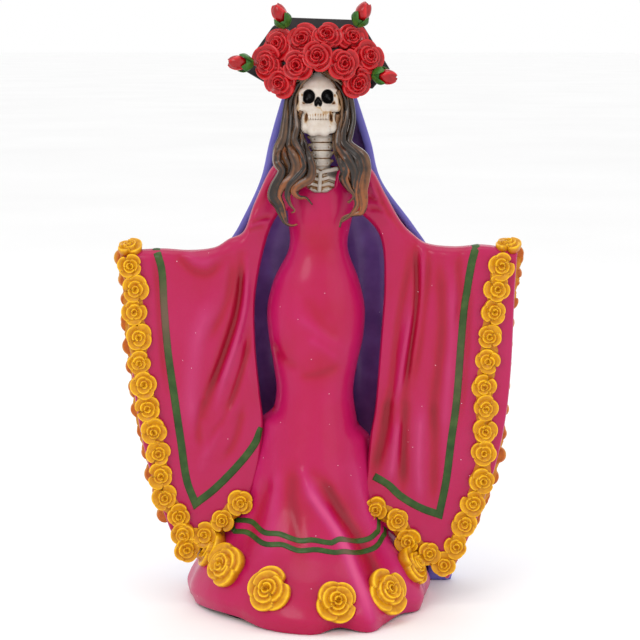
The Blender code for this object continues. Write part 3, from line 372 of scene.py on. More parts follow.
# Locks of hair as (upper line, lower line) of (x, height); the lower part stands further forward
HAIR_LOCKS = {
    LEFT: (
        (
            (
                (-4.9, 266.8), (-10.8, 262.7), (-15.5, 256.2), (-17.0, 249.2), (-17.7, 242.1),
                (-18.6, 235.0), (-21.0, 229.1),
            ),
            (
                (-20.7, 223.2), (-18.4, 219.1), (-22.0, 211.4), (-22.9, 206.7), (-20.3, 202.5),
                (-18.5, 197.2), (-16.7, 193.6), (-13.8, 192.4), (-11.1, 193.0),
            ),
        ),
        (
            (
                (-4.6, 266.6), (-10.2, 261.6), (-13.7, 255.2), (-14.6, 248.1), (-15.0, 241.0),
                (-15.6, 235.1), (-15.8, 230.4),
            ),
            (
                (-13.1, 226.8), (-11.6, 222.1), (-13.1, 216.8), (-17.8, 212.1), (-19.9, 207.4),
                (-17.9, 202.0), (-16.1, 194.3),
            ),
        ),
        (
            ((-4.3, 266.3), (-9.6, 260.5), (-12.2, 254.1), (-12.2, 246.4), (-11.7, 240.0), (-12.8, 234.1)),
            (
                (-8.4, 225.6), (-7.5, 220.9), (-10.2, 216.8), (-14.3, 212.1), (-15.8, 207.4),
                (-14.6, 203.2), (-12.3, 199.7), (-14.0, 198.8),
            ),
        ),
        (
            ((-9.4, 248.2), (-10.2, 243.2), (-9.6, 237.5), (-7.3, 231.6)),
            (
                (-4.9, 225.6), (-3.7, 220.3), (-4.9, 215.5), (-9.6, 212.6), (-12.6, 209.6), (-10.2, 206.7),
                (-6.7, 206.1), (-3.7, 202.8),
            ),
        ),
    ),
    RIGHT: (
        (
            (
                (1.0, 267.1), (6.4, 264.5), (11.1, 260.4), (14.4, 255.7), (16.1, 249.2), (16.5, 243.3),
                (15.3, 237.4), (14.5, 232.6),
            ),
            (
                (21.1, 226.2), (22.3, 221.5), (21.7, 215.5), (20.8, 209.6), (21.4, 203.7), (20.3, 199.0),
                (15.8, 197.8), (11.1, 196.0), (9.6, 191.5),
            ),
        ),
        (
            (
                (1.6, 266.9), (7.5, 262.8), (11.7, 258.1), (13.4, 251.6), (13.5, 244.6), (11.7, 237.5),
                (11.8, 232.2),
            ),
            (
                (18.1, 225.1), (19.3, 220.4), (18.1, 214.5), (17.6, 208.5), (18.2, 202.6), (14.6, 197.3),
                (10.5, 194.3),
            ),
        ),
        (
            ((8.7, 257.5), (10.5, 252.2), (10.5, 244.6), (9.3, 237.5), (9.2, 231.6)),
            ((13.2, 225.7), (16.0, 221.0), (16.9, 218.0), (16.4, 212.1), (17.0, 206.8), (13.4, 203.8)),
        ),
        (
            ((8.7, 246.3), (8.1, 239.8), (7.6, 232.8), (8.2, 228.0)),
            ((10.5, 223.3), (12.2, 219.2), (11.6, 215.6), (14.0, 210.9), (16.4, 207.4), (14.0, 203.5)),
        ),
    ),
}
# Paints, from the painted shade of the deepest hollow to the painted highlight of the brightest ridge:
# (tone, colour as 0 to 255)
DRESS_STOPS = [
    (0.0, (138, 6, 34)), (0.28, (170, 3, 54)), (0.5, (180, 8, 80)), (0.75, (190, 38, 106)),
    (1.0, (206, 66, 122)),
]
SLEEVE_STOPS = [
    (0.0, (138, 6, 30)), (0.28, (168, 8, 52)), (0.5, (176, 16, 78)), (0.75, (182, 38, 96)),
    (1.0, (202, 72, 122)),
]
YELLOW_STOPS = [
    (0.0, (176, 84, 14)), (0.25, (196, 100, 14)), (0.5, (198, 134, 12)), (0.8, (226, 164, 14)),
    (1.0, (250, 198, 26)),
]
RED_STOPS = [(0.0, (104, 0, 6)), (0.3, (146, 0, 10)), (0.6, (170, 2, 14)), (1.0, (206, 24, 32))]
HAIR_STOPS = [
    (0.05, (24, 16, 11)), (0.30, (46, 31, 20)), (0.6, (80, 54, 34)), (0.8, (112, 78, 48)),
    (1.0, (146, 108, 72)),
]
WASH_STOPS = [(0.0, (206, 194, 182)), (0.35, (186, 158, 122)), (0.62, (136, 88, 46)), (0.95, (74, 42, 22))]
# Rings of petals, from the middle out: (petals, span in radians, reach, top)
SMALL_ROSE = ((2, 3.6, 0.28, 1.0), (3, 2.7, 0.60, 0.88), (4, 2.0, 1.04, 0.70))
HEM_ROSE = ((2, 3.6, 0.22, 1.0), (3, 2.7, 0.44, 0.93), (3, 2.7, 0.72, 0.84), (4, 2.0, 1.04, 0.68))
RED_ROSE = ((2, 3.6, 0.24, 1.0), (3, 2.7, 0.46, 0.93), (3, 2.7, 0.74, 0.83), (4, 2.0, 1.04, 0.66))
PETAL_TILT, PETAL_CUP, PETAL_FALL = 0.11, 0.17, 7.0
# Bars of bone on each side of the face's middle, with x outwards: (start, end, radii, fillet)
SKULL_BARS = (
    ((1.6, -14.6, 258.2), (8.2, -11.8, 257.6), (1.2, 1.0), 1.6),
    ((9.2, -10.6, 257.0), (9.0, -10.8, 251.0), (1.1, 1.3), 1.2),
    ((3.0, -14.2, 249.6), (9.2, -11.0, 249.3), (1.5, 2.0), 1.2),
    ((9.3, -10.5, 249.6), (10.6, -3.0, 251.2), (1.5, 1.1), 1.0),
)
JAW_BARS = (
    ((9.2, -3.5, 248.0), (8.8, -8.0, 244.0), (1.7, 2.0), 1.2),
    ((8.8, -8.0, 244.0), (7.4, -11.2, 239.8), (2.0, 2.4), 1.2),
    ((7.4, -11.2, 239.8), (3.4, -13.4, 238.6), (2.4, 2.6), 1.2),
    ((3.4, -13.4, 238.6), (0, -14.0, 239.2), (2.6, 2.4), 1.2),
)
JAW_RISE = (((8.0, -10.4, 239.8), (8.6, -10.2, 246.4), (1.4, 1.1), 0.9),)
# The skull's eye and nose holes: (centre, radii)
SKULL_HOLES = (
    ((-5.6, -14.6, 255.0), (2.95, 5.0, 3.2)),
    ((3.8, -14.6, 255.0), (2.95, 5.0, 3.2)),
    ((-6.8, -14.4, 253.6), (1.8, 4.6, 1.9)),
    ((5.0, -14.4, 253.6), (1.8, 4.6, 1.9)),
    ((-1.9, -16.0, 251.9), (0.85, 2.6, 1.5)),
    ((0.1, -16.0, 251.9), (0.85, 2.6, 1.5)),
    ((-0.9, -16.0, 253.2), (1.1, 2.6, 1.5)),
)


# ---------------------------------------------------------------- smooth curves and fields
def slopes_of(places, values):
    """The slope at each row, from its neighbours."""
    slopes = np.empty_like(values)
    slopes[1:-1] = (values[2:] - values[:-2]) / (places[2:] - places[:-2])[:, None]
    slopes[0] = (values[1] - values[0]) / (places[1] - places[0])
    slopes[-1] = (values[-1] - values[-2]) / (places[-1] - places[-2])
    return slopes


def curve_at(rows, places):
    """Smooth values at the given places, along rows that each start with their own place."""
    rows = np.array(rows, float)
    ends, values = rows[:, 0], rows[:, 1:]
    places = np.clip(np.asarray(places, float), ends[0], ends[-1])
    low = np.clip(np.searchsorted(ends, places, side="right") - 1, 0, len(ends) - 2)
    width = (ends[low + 1] - ends[low])[..., None]
    t = (places - ends[low])[..., None] / width
    slopes = slopes_of(ends, values)
    return (
        (2 * t**3 - 3 * t**2 + 1) * values[low]
        + (t**3 - 2 * t**2 + t) * slopes[low] * width
        + (3 * t**2 - 2 * t**3) * values[low + 1]
        + (t**3 - t**2) * slopes[low + 1] * width
    )


def line_through(points, count):
    """Evenly spaced points along a smooth curve through the given ones."""
    points = np.array(points, float)
    lengths = np.concatenate([[0.0], np.cumsum(np.linalg.norm(np.diff(points, axis=0), axis=1))])
    return curve_at(np.column_stack([lengths, points]), np.linspace(0, lengths[-1], count))


def ease(value, low, high):
    """0 below low, 1 above high, and smooth between them."""
    t = np.clip((np.asarray(value, float) - low) / (high - low), 0, 1)
    return t * t * (3 - 2 * t)


def wobble(points, size, seed):
    """A smooth, slightly irregular field between about -1 and 1, with bumps of about the given size."""
    rng = np.random.default_rng(seed)
    total = np.zeros(points.shape[:-1])
    for _ in range(7):
        way = rng.normal(size=points.shape[-1])
        way *= rng.uniform(0.6, 1.5) / np.linalg.norm(way)
        total += np.sin(points @ way * TAU / (2 * size) + rng.uniform(0, TAU))
    return total / 3.5


def unit(vectors):
    return vectors / np.maximum(np.linalg.norm(vectors, axis=-1, keepdims=True), 1e-9)


def folds_at(x, z, folds):
    """The height in mm of folds drawn on the front: ridges above 0, valleys below."""
    total = np.zeros(np.shape(x))
    for height, width, line in folds:
        path = line_through(line, 14)
        nearest = np.full(np.shape(x), 1e9)
        along = np.zeros(np.shape(x))
        for k, (start, end) in enumerate(zip(path, path[1:])):
            run = end - start
            share = ((x - start[0]) * run[0] + (z - start[1]) * run[1]) / (run @ run)
            share = np.clip(share, 0, 1)
            away = np.hypot(x - start[0] - share * run[0], z - start[1] - share * run[1])
            along = np.where(away < nearest, (k + share) / (len(path) - 1), along)
            nearest = np.minimum(nearest, away)
        taper = 0.25 + 0.75 * ease(along, 0, 0.18) * ease(-along, -1, -0.75)
        total += height * taper * np.exp(-((nearest / width) ** 2))
    return total


# ---------------------------------------------------------------- parts of meshes
def corners_of(faces):
    """Every face as triangles, for the sums below."""
    return np.array([(f[0], f[k], f[k + 1]) for f in faces for k in range(1, len(f) - 1)])


def normals_of(points, faces):
    triangles = corners_of(faces)
    a, b, c = (points[triangles[:, k]] for k in range(3))
    flat = np.cross(b - a, c - a)
    total = np.zeros_like(points)
    for corner in range(3):
        for axis in range(3):
            total[:, axis] += np.bincount(triangles[:, corner], flat[:, axis], len(points))
    return unit(total)


def hollows_of(points, faces, rounds):
    """How far each point lies below its smoothed surroundings, in mm: more than 0 in a hollow."""
    triangles = corners_of(faces)
    ends = np.concatenate([triangles[:, [0, 1]], triangles[:, [1, 2]], triangles[:, [2, 0]]])
    ends = np.concatenate([ends, ends[:, ::-1]])
    count = np.maximum(np.bincount(ends[:, 0], minlength=len(points)), 1)
    smooth = points.copy()
    for _ in range(rounds):
        moved = [np.bincount(ends[:, 0], smooth[ends[:, 1], axis], len(points)) for axis in range(3)]
        smooth = np.stack(moved, 1) / count[:, None]
    return ((smooth - points) * normals_of(points, faces)).sum(1)


def outward(points, faces):
    """The same faces, turned so that a closed part faces out."""
    a, b, c = (points[corners_of(faces)[:, k]] for k in range(3))
    inside_out = (a * np.cross(b, c)).sum() < 0
    return [face[::-1] for face in faces] if inside_out else faces


def grid_part(points, wrap=True, ring=False, capped=False, **values):
    """A part from rows of points: wrap joins each row's ends, ring joins the last row to the first."""
    rows, columns = points.shape[:2]
    index = np.arange(rows * columns).reshape(rows, columns)
    if wrap:
        index = np.concatenate([index, index[:, :1]], 1)
    if ring:
        index = np.concatenate([index, index[:1]], 0)
    quads = np.stack([index[:-1, :-1], index[:-1, 1:], index[1:, 1:], index[1:, :-1]], -1)
    faces = quads.reshape(-1, 4).tolist()
    flat = points.reshape(-1, 3)
    layers = {}
    for name, value in values.items():
        layers[name] = np.broadcast_to(value, (rows, columns)).reshape(-1).astype(float)
    if capped:
        for row in (0, rows - 1):
            centre = len(flat)
            flat = np.concatenate([flat, points[row].mean(0)[None]])
            for name, value in layers.items():
                layers[name] = np.append(value, value[row * columns : (row + 1) * columns].mean())
            edge = list(zip(index[row, :-1].tolist(), index[row, 1:].tolist()))
            faces += [(b, a, centre) if row == 0 else (a, b, centre) for a, b in edge]
    return flat, outward(flat, faces), layers


def joined(parts):
    """One part from several; a value that a part lacks is 0 there."""
    names = {name for _, _, layers in parts for name in layers}
    points, faces, start = [], [], 0
    layers = {name: [] for name in names}
    for part_points, part_faces, part_layers in parts:
        points.append(part_points)
        faces += [[start + k for k in face] for face in part_faces]
        start += len(part_points)
        for name in names:
            layers[name].append(part_layers.get(name, np.zeros(len(part_points))))
    return np.concatenate(points), faces, {name: np.concatenate(value) for name, value in layers.items()}


def turned_to(part, foot, facing, spin=0.0):
    """The part moved so that its own origin is at foot and its own Z points along facing."""
    up = unit(np.array(facing, float))
    side = unit(np.cross(up, (0.17, 0.31, 0.93)))
    other = np.cross(up, side)
    points, faces, layers = part
    x = points[:, 0] * math.cos(spin) - points[:, 1] * math.sin(spin)
    y = points[:, 0] * math.sin(spin) + points[:, 1] * math.cos(spin)
    placed = np.array(foot) + x[:, None] * side + y[:, None] * other + points[:, 2:] * up
    return placed, faces, layers


def swept(path, widths, thicks, facing, lobes=0, sides=14, **values):
    """A tapered strand along a path, flat towards facing, with fine grooves along it."""
    run = unit(np.gradient(path, axis=0))
    out = unit(facing - (facing * run).sum(-1, keepdims=True) * run)
    across = np.cross(run, out)
    turn = np.linspace(0, TAU, sides, endpoint=False)
    groove = 1 + (0.09 * np.cos(turn * lobes) if lobes else 0)
    wide = np.outer(widths / 2, np.cos(turn) * groove)
    high = np.outer(thicks / 2, np.sin(turn) * groove)
    points = path[:, None] + wide[..., None] * across[:, None] + high[..., None] * out[:, None]
    return grid_part(points, capped=True, **values)


def lathed(profile, columns):
    """A part turned round its own Z, from (radius, height) pairs."""
    turn = np.linspace(0, TAU, columns, endpoint=False)
    radius, height = np.array(profile).T
    x, y = np.outer(radius, np.cos(turn)), np.outer(radius, np.sin(turn))
    return grid_part(np.stack([x, y, np.repeat(height[:, None], columns, 1)], -1), capped=True)


def add_piece(name, part, material, slot, *nodes):
    """Makes the object, with its values as attributes, and ties it to the body and its CAD nodes."""
    points, faces, layers = part
    mesh = bpy.data.meshes.new(name)
    mesh.from_pydata(((points + CENTRING) * MM).tolist(), [], faces)
    mesh.shade_smooth()
    for layer, value in layers.items():
        mesh.attributes.new(layer, "FLOAT", "POINT").data.foreach_set("value", value.astype(np.float32))
    mesh.materials.append(material)
    mesh.validate()
    piece = bpy.data.objects.new(name, mesh)
    bpy.context.scene.collection.objects.link(piece)
    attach(piece, "root")
    if nodes:
        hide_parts(*nodes)
    return piece


def surface_of(part):
    """The part's surface, for the pieces that are laid on it."""
    points, faces, _ = part
    return BVHTree.FromPolygons(points.tolist(), [tuple(face) for face in faces])


def seen_on(surface, point):
    """Where the line from the camera through a point meets the surface, or else the nearest point of it."""
    eye = Vector(CAMERA_AT)
    place, normal, _, _ = surface.ray_cast(eye, (Vector(point) - eye).normalized())
    if place is None:
        place, normal, _, _ = surface.find_nearest(Vector(point))
    return np.array(place), np.array(normal)


def laid_strip(surface, centres, width, thick, **values):
    """A strip glued on a surface along a line of points, with slightly rounded edges and mitred corners."""
    runs = unit(np.diff(centres, axis=0))
    before = np.concatenate([runs[:1], runs])
    after = np.concatenate([runs, runs[-1:]])
    rows = []
    for k, centre in enumerate(centres):
        _, normal, _, _ = surface.find_nearest(Vector(centre))
        normal = np.array(normal)
        a, b = unit(np.cross(before[k], normal)), unit(np.cross(after[k], normal))
        across = (a + b) / max(1 + a @ b, 0.35)
        row = []
        for offset, lift in STRIP_SECTION:
            base, up, _, _ = surface.find_nearest(Vector(centre + across * offset * width / 2))
            row.append(np.array(base) + np.array(up) * thick * lift)
        rows.append(row)
    return grid_part(np.array(rows), capped=True, **values)


# ---------------------------------------------------------------- distance fields, for the bones
def ball_field(places, centre, radii):
    radii = np.array(radii)
    scaled = (places - centre) / radii
    far = np.linalg.norm(scaled, axis=-1)
    return (far - 1) * far / np.maximum(np.linalg.norm(scaled / radii, axis=-1), 1e-6)


def rod_field(places, start, end, radius, end_radius):
    start, run = np.array(start), np.array(end) - np.array(start)
    share = np.clip((places - start) @ run / (run @ run), 0, 1)
    radius = radius + (end_radius - radius) * share
    return np.linalg.norm(places - start - share[..., None] * run, axis=-1) - radius


def blend_in(first, second, soft):
    """The union of two fields, with a fillet of about the given size."""
    mix = np.clip(0.5 + 0.5 * (second - first) / soft, 0, 1)
    return second + (first - second) * mix - soft * mix * (1 - mix)


def carve(first, second, soft):
    return -blend_in(-first, second, soft)


def grid_places(low, high, step):
    axes = [np.arange(a, b, step) for a, b in zip(low, high)]
    return np.stack(np.meshgrid(*axes, indexing="ij"), -1)


def net_part(field, low, step):
    """A closed mesh of quads on the zero level of a field sampled on a grid, negative inside."""
    cells = tuple(n - 1 for n in field.shape)
    total, count = np.zeros((*cells, 3)), np.zeros(cells)

    def corner(offset):
        return field[tuple(slice(o, o + n) for o, n in zip(offset, cells))]

    for axis in range(3):
        for i, j in ((0, 0), (0, 1), (1, 0), (1, 1)):
            start = [i, j]
            start.insert(axis, 0)
            end = list(start)
            end[axis] = 1
            a, b = corner(start), corner(end)
            crossed = (a < 0) != (b < 0)
            t = np.where(crossed, a / np.where(crossed, a - b, 1), 0)
            place = np.array(start) + t[..., None] * (np.array(end) - np.array(start))
            total += np.where(crossed[..., None], place, 0)
            count += crossed
    used = count > 0
    index = np.full(cells, -1)
    index[used] = np.arange(used.sum())
    points = (total[used] / count[used][:, None] + np.argwhere(used)) * step + low
    faces = []
    for axis in range(3):
        u, v = [k for k in range(3) if k != axis]
        inner = [slice(1, n - 1) for n in field.shape]
        inner[axis] = slice(0, field.shape[axis] - 1)
        after = list(inner)
        after[axis] = slice(1, field.shape[axis])
        a, b = field[tuple(inner)] < 0, field[tuple(after)] < 0
        for flip, where in ((False, a & ~b), (True, ~a & b)):
            at = np.argwhere(where)
            at[:, u] += 1
            at[:, v] += 1
            corners = []
            for du, dv in ((-1, -1), (0, -1), (0, 0), (-1, 0)):
                cell = at.copy()
                cell[:, u] += du
                cell[:, v] += dv
                corners.append(index[tuple(cell.T)])
            quads = np.stack(corners, 1)
            faces += (quads[:, ::-1] if flip != (axis == 1) else quads).tolist()
    return points, faces, {}


# ---------------------------------------------------------------- materials
class Nodes:
    """A material's node tree, built one node at a time."""

    def __init__(self, name):
        self.material = bpy.data.materials.new(name)
        self.material.use_nodes = True
        self.tree = self.material.node_tree
        self.shader = self.tree.nodes["Principled BSDF"]
        self.place = self.add("ShaderNodeTexCoord").outputs["Object"]

    def add(self, kind, **settings):
        node = self.tree.nodes.new(kind)
        for key, value in settings.items():
            setattr(node, key, value)
        return node

    def link(self, source, target):
        self.tree.links.new(source, target)

    def noise(self, size, detail=3.0, stretch=(1, 1, 1)):
        """Noise with features of the given size in metres."""
        mapping = self.add("ShaderNodeMapping")
        mapping.inputs["Scale"].default_value = stretch
        self.link(self.place, mapping.inputs["Vector"])
        node = self.add("ShaderNodeTexNoise")
        node.inputs["Scale"].default_value = 1 / size
        node.inputs["Detail"].default_value = detail
        self.link(mapping.outputs["Vector"], node.inputs["Vector"])
        return node.outputs["Fac"]

    def layer(self, name):
        return self.add("ShaderNodeAttribute", attribute_name=name).outputs["Fac"]

    def math(self, operation, first, second):
        node = self.add("ShaderNodeMath", operation=operation)
        for socket, value in zip(node.inputs, (first, second)):
            if isinstance(value, (int, float)):
                socket.default_value = value
            else:
                self.link(value, socket)
        return node.outputs[0]

    def spread(self, value, low, high, to_low=0.0, to_high=1.0):
        node = self.add("ShaderNodeMapRange")
        self.link(value, node.inputs["Value"])
        names = ("From Min", "From Max", "To Min", "To Max")
        for name, number in zip(names, (low, high, to_low, to_high)):
            node.inputs[name].default_value = number
        return node.outputs["Result"]

    def ramp(self, value, stops):
        node = self.add("ShaderNodeValToRGB")
        elements = node.color_ramp.elements
        for index, (position, colour) in ((0, stops[0]), (1, stops[-1])):
            elements[index].position = position
            elements[index].color = (*linear(colour), 1)
        for position, colour in stops[1:-1]:
            elements.new(position).color = (*linear(colour), 1)
        self.link(value, node.inputs["Fac"])
        return node.outputs["Color"]

    def mix(self, share, first, second):
        node = self.add("ShaderNodeMix", data_type="RGBA")
        sockets = (node.inputs["Factor"], node.inputs[6], node.inputs[7])
        for socket, value in zip(sockets, (share, first, second)):
            if isinstance(value, tuple):
                socket.default_value = (*linear(value), 1)
            else:
                self.link(value, socket)
        return node.outputs[2]

    def mottle(self, size, depth, detail=3.0, stretch=(1, 1, 1)):
        """Noise that lies evenly on both sides of 0, to be added to a tone."""
        return self.spread(self.noise(size, detail, stretch), 0.3, 0.7, -depth, depth)

    def specks(self, colour, share, tint, size=0.0022):
        """Rare tiny spots, as pinholes and dust leave in the paint."""
        cells = self.add("ShaderNodeTexVoronoi")
        cells.inputs["Scale"].default_value = 1 / size
        self.link(self.place, cells.inputs["Vector"])
        parts = self.add("ShaderNodeSeparateColor")
        self.link(cells.outputs["Color"], parts.inputs["Color"])
        near = self.math("LESS_THAN", cells.outputs["Distance"], 0.10)
        rare = self.math("LESS_THAN", parts.outputs["Red"], share)
        return self.mix(self.math("MULTIPLY", near, rare), colour, tint)

    def finish(self, colour, rough, coat=0.0, bumps=()):
        """Links colour, varied roughness between two values, and bumps as (height, distance in metres)."""
        self.link(colour, self.shader.inputs["Base Color"])
        self.link(self.spread(self.noise(0.009), 0.3, 0.7, *rough), self.shader.inputs["Roughness"])
        self.shader.inputs["Specular IOR Level"].default_value = 0.22
        self.shader.inputs["Coat Weight"].default_value = coat
        self.shader.inputs["Coat Roughness"].default_value = 0.16
        below = None
        for height, distance in bumps:
            bump = self.add("ShaderNodeBump")
            bump.inputs["Distance"].default_value = distance
            self.link(height, bump.inputs["Height"])
            if below:
                self.link(below, bump.inputs["Normal"])
            below = bump.outputs["Normal"]
        if below:
            self.link(below, self.shader.inputs["Normal"])
        return self.material


def linear(colour):
    """A colour given as 0 to 255, as the shader's linear values."""
    return tuple(((c / 255 + 0.055) / 1.055) ** 2.4 if c > 10 else c / 255 / 12.92 for c in colour)


def shades(*colours):
    """Three colours as stops for a ramp over noise, which lies mostly between 0.3 and 0.7."""
    return list(zip((0.3, 0.5, 0.7), colours))


def fabric_paint(name, stops):
    """Magenta paint, deeper in the folds as painted shade and lighter on their ridges as painted highlight,
    with brushed variation and a satin varnish.
    """
    nodes = Nodes(name)
    tone = nodes.math("ADD", nodes.layer("tone"), nodes.mottle(0.022, 0.10, 2.0))
    tone = nodes.math("ADD", tone, nodes.mottle(0.004, 0.03, 4.0, (1, 1, 0.35)))
    colour = nodes.ramp(nodes.spread(tone, -1.0, 1.0), stops)
    colour = nodes.specks(colour, 0.035, (235, 190, 205))
    bumps = ((nodes.noise(0.006, 3.0), 0.00022), (nodes.noise(0.0009, 2.0), 0.00003))
    return nodes.finish(colour, (0.30, 0.42), 0.25, bumps)


def petal_paint(name, stops, rough, coat):
    """Paint on rolled roses: painted highlight on the lips and painted shade, a deeper colour, between the
    petals.
    """
    nodes = Nodes(name)
    tone = nodes.math("ADD", nodes.layer("lip"), nodes.mottle(0.003, 0.14))
    colour = nodes.ramp(tone, stops)
    bumps = ((nodes.noise(0.0016, 3.0), 0.00012), (nodes.noise(0.0005, 2.0), 0.00003))
    return nodes.finish(colour, rough, coat, bumps)


def ribbon_paint(name):
    """Dark green brushed paint with worn, brownish stretches."""
    nodes = Nodes(name)
    stops = [(0.3, (34, 64, 20)), (0.5, (46, 78, 28)), (0.72, (66, 92, 40))]
    colour = nodes.ramp(nodes.noise(0.006, 4.0), stops)
    colour = nodes.mix(nodes.layer("worn"), colour, (112, 84, 70))
    bumps = ((nodes.noise(0.0022, 3.0), 0.00012),)
    return nodes.finish(colour, (0.34, 0.48), 0.15, bumps)


def cape_paint():
    """Light violet outside and purple inside."""
    nodes = Nodes("cape_violet_paint")
    outside = nodes.ramp(nodes.noise(0.014), shades((104, 98, 180), (110, 105, 187), (117, 112, 194)))
    stops = [(0.3, (104, 70, 150)), (0.55, (122, 86, 168)), (0.75, (128, 98, 184))]
    inside = nodes.ramp(nodes.noise(0.012), stops)
    colour = nodes.mix(nodes.layer("inside"), outside, inside)
    colour = nodes.specks(colour, 0.02, (190, 185, 220))
    bumps = ((nodes.noise(0.006, 3.0), 0.0002), (nodes.noise(0.0009, 2.0), 0.00003))
    return nodes.finish(colour, (0.34, 0.46), 0.2, bumps)


def bone_paint():
    """Bone white with a brown wash left in the hollows, and black in the eye and nose holes."""
    nodes = Nodes("bone_washed_paint")
    bone = nodes.ramp(nodes.noise(0.005), shades((194, 180, 164), (206, 194, 182), (214, 205, 194)))
    wash = nodes.math("ADD", nodes.layer("wash"), nodes.mottle(0.0016, 0.18, 4.0))
    stained = nodes.ramp(wash, WASH_STOPS)
    colour = nodes.mix(nodes.spread(wash, 0.06, 0.32), bone, stained)
    colour = nodes.mix(nodes.layer("hole"), colour, (16, 13, 13))
    bumps = ((nodes.noise(0.0024, 3.0), 0.00010), (nodes.noise(0.0006, 2.0), 0.00003))
    return nodes.finish(colour, (0.34, 0.46), 0.2, bumps)


def hair_paint():
    """Dark brown with painted highlight in a lighter brown on the crests and painted shade in the furrows,
    and bronze paint along the strands.
    """
    nodes = Nodes("hair_brushed_paint")
    tone = nodes.math("ADD", nodes.layer("lip"), nodes.mottle(0.003, 0.10, 2.0))
    colour = nodes.ramp(tone, HAIR_STOPS)
    bronze = nodes.math("MULTIPLY", nodes.layer("bronze"), nodes.spread(tone, 0.26, 0.56, 0.0, 0.90))
    colour = nodes.mix(bronze, colour, (150, 80, 30))
    bumps = ((nodes.noise(0.0012, 3.0, (1, 1, 0.25)), 0.00008),)
    return nodes.finish(colour, (0.18, 0.30), 0.60, bumps)


def plain_paint(name, stops, grain, rough, coat=0.1, depth=0.00012, stretch=(1, 1, 1)):
    """One coat of paint, or a bare material, with grain of the given size."""
    nodes = Nodes(name)
    colour = nodes.ramp(nodes.noise(grain, 4.0, stretch), stops)
    bumps = ((nodes.noise(grain / 3, 4.0, stretch), depth),)
    return nodes.finish(colour, rough, coat, bumps)


# ---------------------------------------------------------------- dress, flounce and their ribbons
def ease_hem(height):
    """The hem's waves: full at the floor, and none above 48 mm."""
    return (1 - ease(height, 0, 48)) ** 1.6


def flounce_top(angle):
    """The flounce's top edge: low in front, where the angle is -90 degrees, and higher round the back."""
    return FLOUNCE_FRONT + FLOUNCE_RISE * (1 + np.sin(angle))


def neck_edge(angle):
    """The dress's top edge: a scoop between two straps in front, and level at the back."""
    lean = np.abs(np.cos(angle) + 0.02)
    side = 0.25 * ease(lean, 0.15, 0.50) + 0.75 * ease(lean, 0.42, 0.60)
    front = ease(-np.sin(angle), -0.2, 0.4)
    return NECK_BACK - (NECK_BACK - NECK_FRONT) * front * (1 - side)


def dress_points(angle, height):
    """The dress's outer surface with its hem waves and folds, and the tone of its paint, which holds
    painted shade and highlight.
    """
    centre, wide, deep = np.moveaxis(curve_at(DRESS, height), -1, 0)
    degrees = (np.degrees(angle) + 90 + 180) % 360 - 180
    share, lift = np.moveaxis(curve_at(HEM_WAVES, degrees), -1, 0)
    hem = ease_hem(height)
    share = 1 + (share - 1) * hem
    cosine, sine = np.cos(angle), np.sin(angle)
    x, y = centre + wide * share * cosine, deep * share * sine
    z = height + lift * hem
    front = ease(-sine, 0.05, 0.45)
    fold = folds_at(x, z, DRESS_FOLDS) * front
    pleats = np.sin(angle * 11 + 2.2 * np.sin(height / 30)) * (1 - front)
    pleats = pleats * 1.3 * (1 - ease(height, 20, 110))
    bust = 1.5 * front * np.exp(-(((z - 193) / 8) ** 2)) * np.exp(-(((np.abs(x) - 6.5) / 5) ** 2))
    out = fold + pleats + bust
    for middle, reach, end in WINGS:
        beside = np.exp(-(((degrees - middle) / 28) ** 2))
        out = out + reach * ease(-z, -end, 8 - end) * ease(z, 24, 44) * beside
    x, y = x + out * cosine, y + out * sine
    # Tone: painted shade in the fold valleys and painted highlight on their ridges, lighter towards the
    # sides than at the front and back, and patches of painted shade.
    tone = 0.48 * folds_at(x, z, DRESS_FOLDS) * front
    tone += 0.28 * (1 - ease(np.abs(sine), 0.45, 0.98)) - 0.12
    for spot_x, spot_z, size, depth in DRESS_SHADE_SPOTS:
        tone -= depth * front * np.exp(-((x - spot_x) ** 2 + (z - spot_z) ** 2) / size**2)
    return np.stack([x, y, z], -1), tone


def paper_shell(low, high, rows):
    """A paper shell of the dress's shape between two edges, which give a height for each angle."""
    angle = np.linspace(0, TAU, DRESS_COLUMNS, endpoint=False)
    share = np.linspace(0, 1, rows)
    heights = low(angle) + (high(angle) - low(angle)) * share[:, None]
    outer, tone = dress_points(np.broadcast_to(angle, heights.shape), heights)
    run = np.gradient(outer, axis=1)
    out = unit(np.stack([run[..., 1], -run[..., 0], np.zeros(run.shape[:2])], -1))
    every = max(rows // INNER_ROWS, 1)
    inner = outer[::every][::-1] - out[::every][::-1] * PAPER
    turns = [math.pi * k / (RIM_STEPS + 1) for k in range(1, RIM_STEPS + 1)]
    rims = []
    for row, way in ((-1, 1), (0, -1)):
        middle = outer[row] - out[row] * PAPER / 2
        over = np.array((0, 0, way * 0.8))
        rim = [middle + (out[row] * math.cos(t) + over * math.sin(t)) * PAPER / 2 for t in turns]
        rims.append(np.array(rim[::way]))
    points = np.concatenate([outer, rims[0], inner[1:-1], rims[1]])
    top, foot = np.repeat(tone[-1:], RIM_STEPS, 0), np.repeat(tone[:1], RIM_STEPS, 0)
    within = np.full(inner[1:-1].shape[:2], -0.4)
    return grid_part(points, ring=True, tone=np.concatenate([tone, top, within, foot]))


def make_dress(paint):
    """The dress down to the flounce, and the flounce down to the floor."""
    dress = paper_shell(lambda a: flounce_top(a) + FLOUNCE_SEAM, neck_edge, DRESS_ROWS)
    flounce = paper_shell(lambda a: FLOUNCE_FOOT + 0 * a, flounce_top, FLOUNCE_ROWS)
    add_piece("dress_shell", dress, paint, "dress_paint", "dress")
    add_piece("flounce_shell", flounce, paint, "dress_paint", "skirt_flounce")
    return dress, flounce


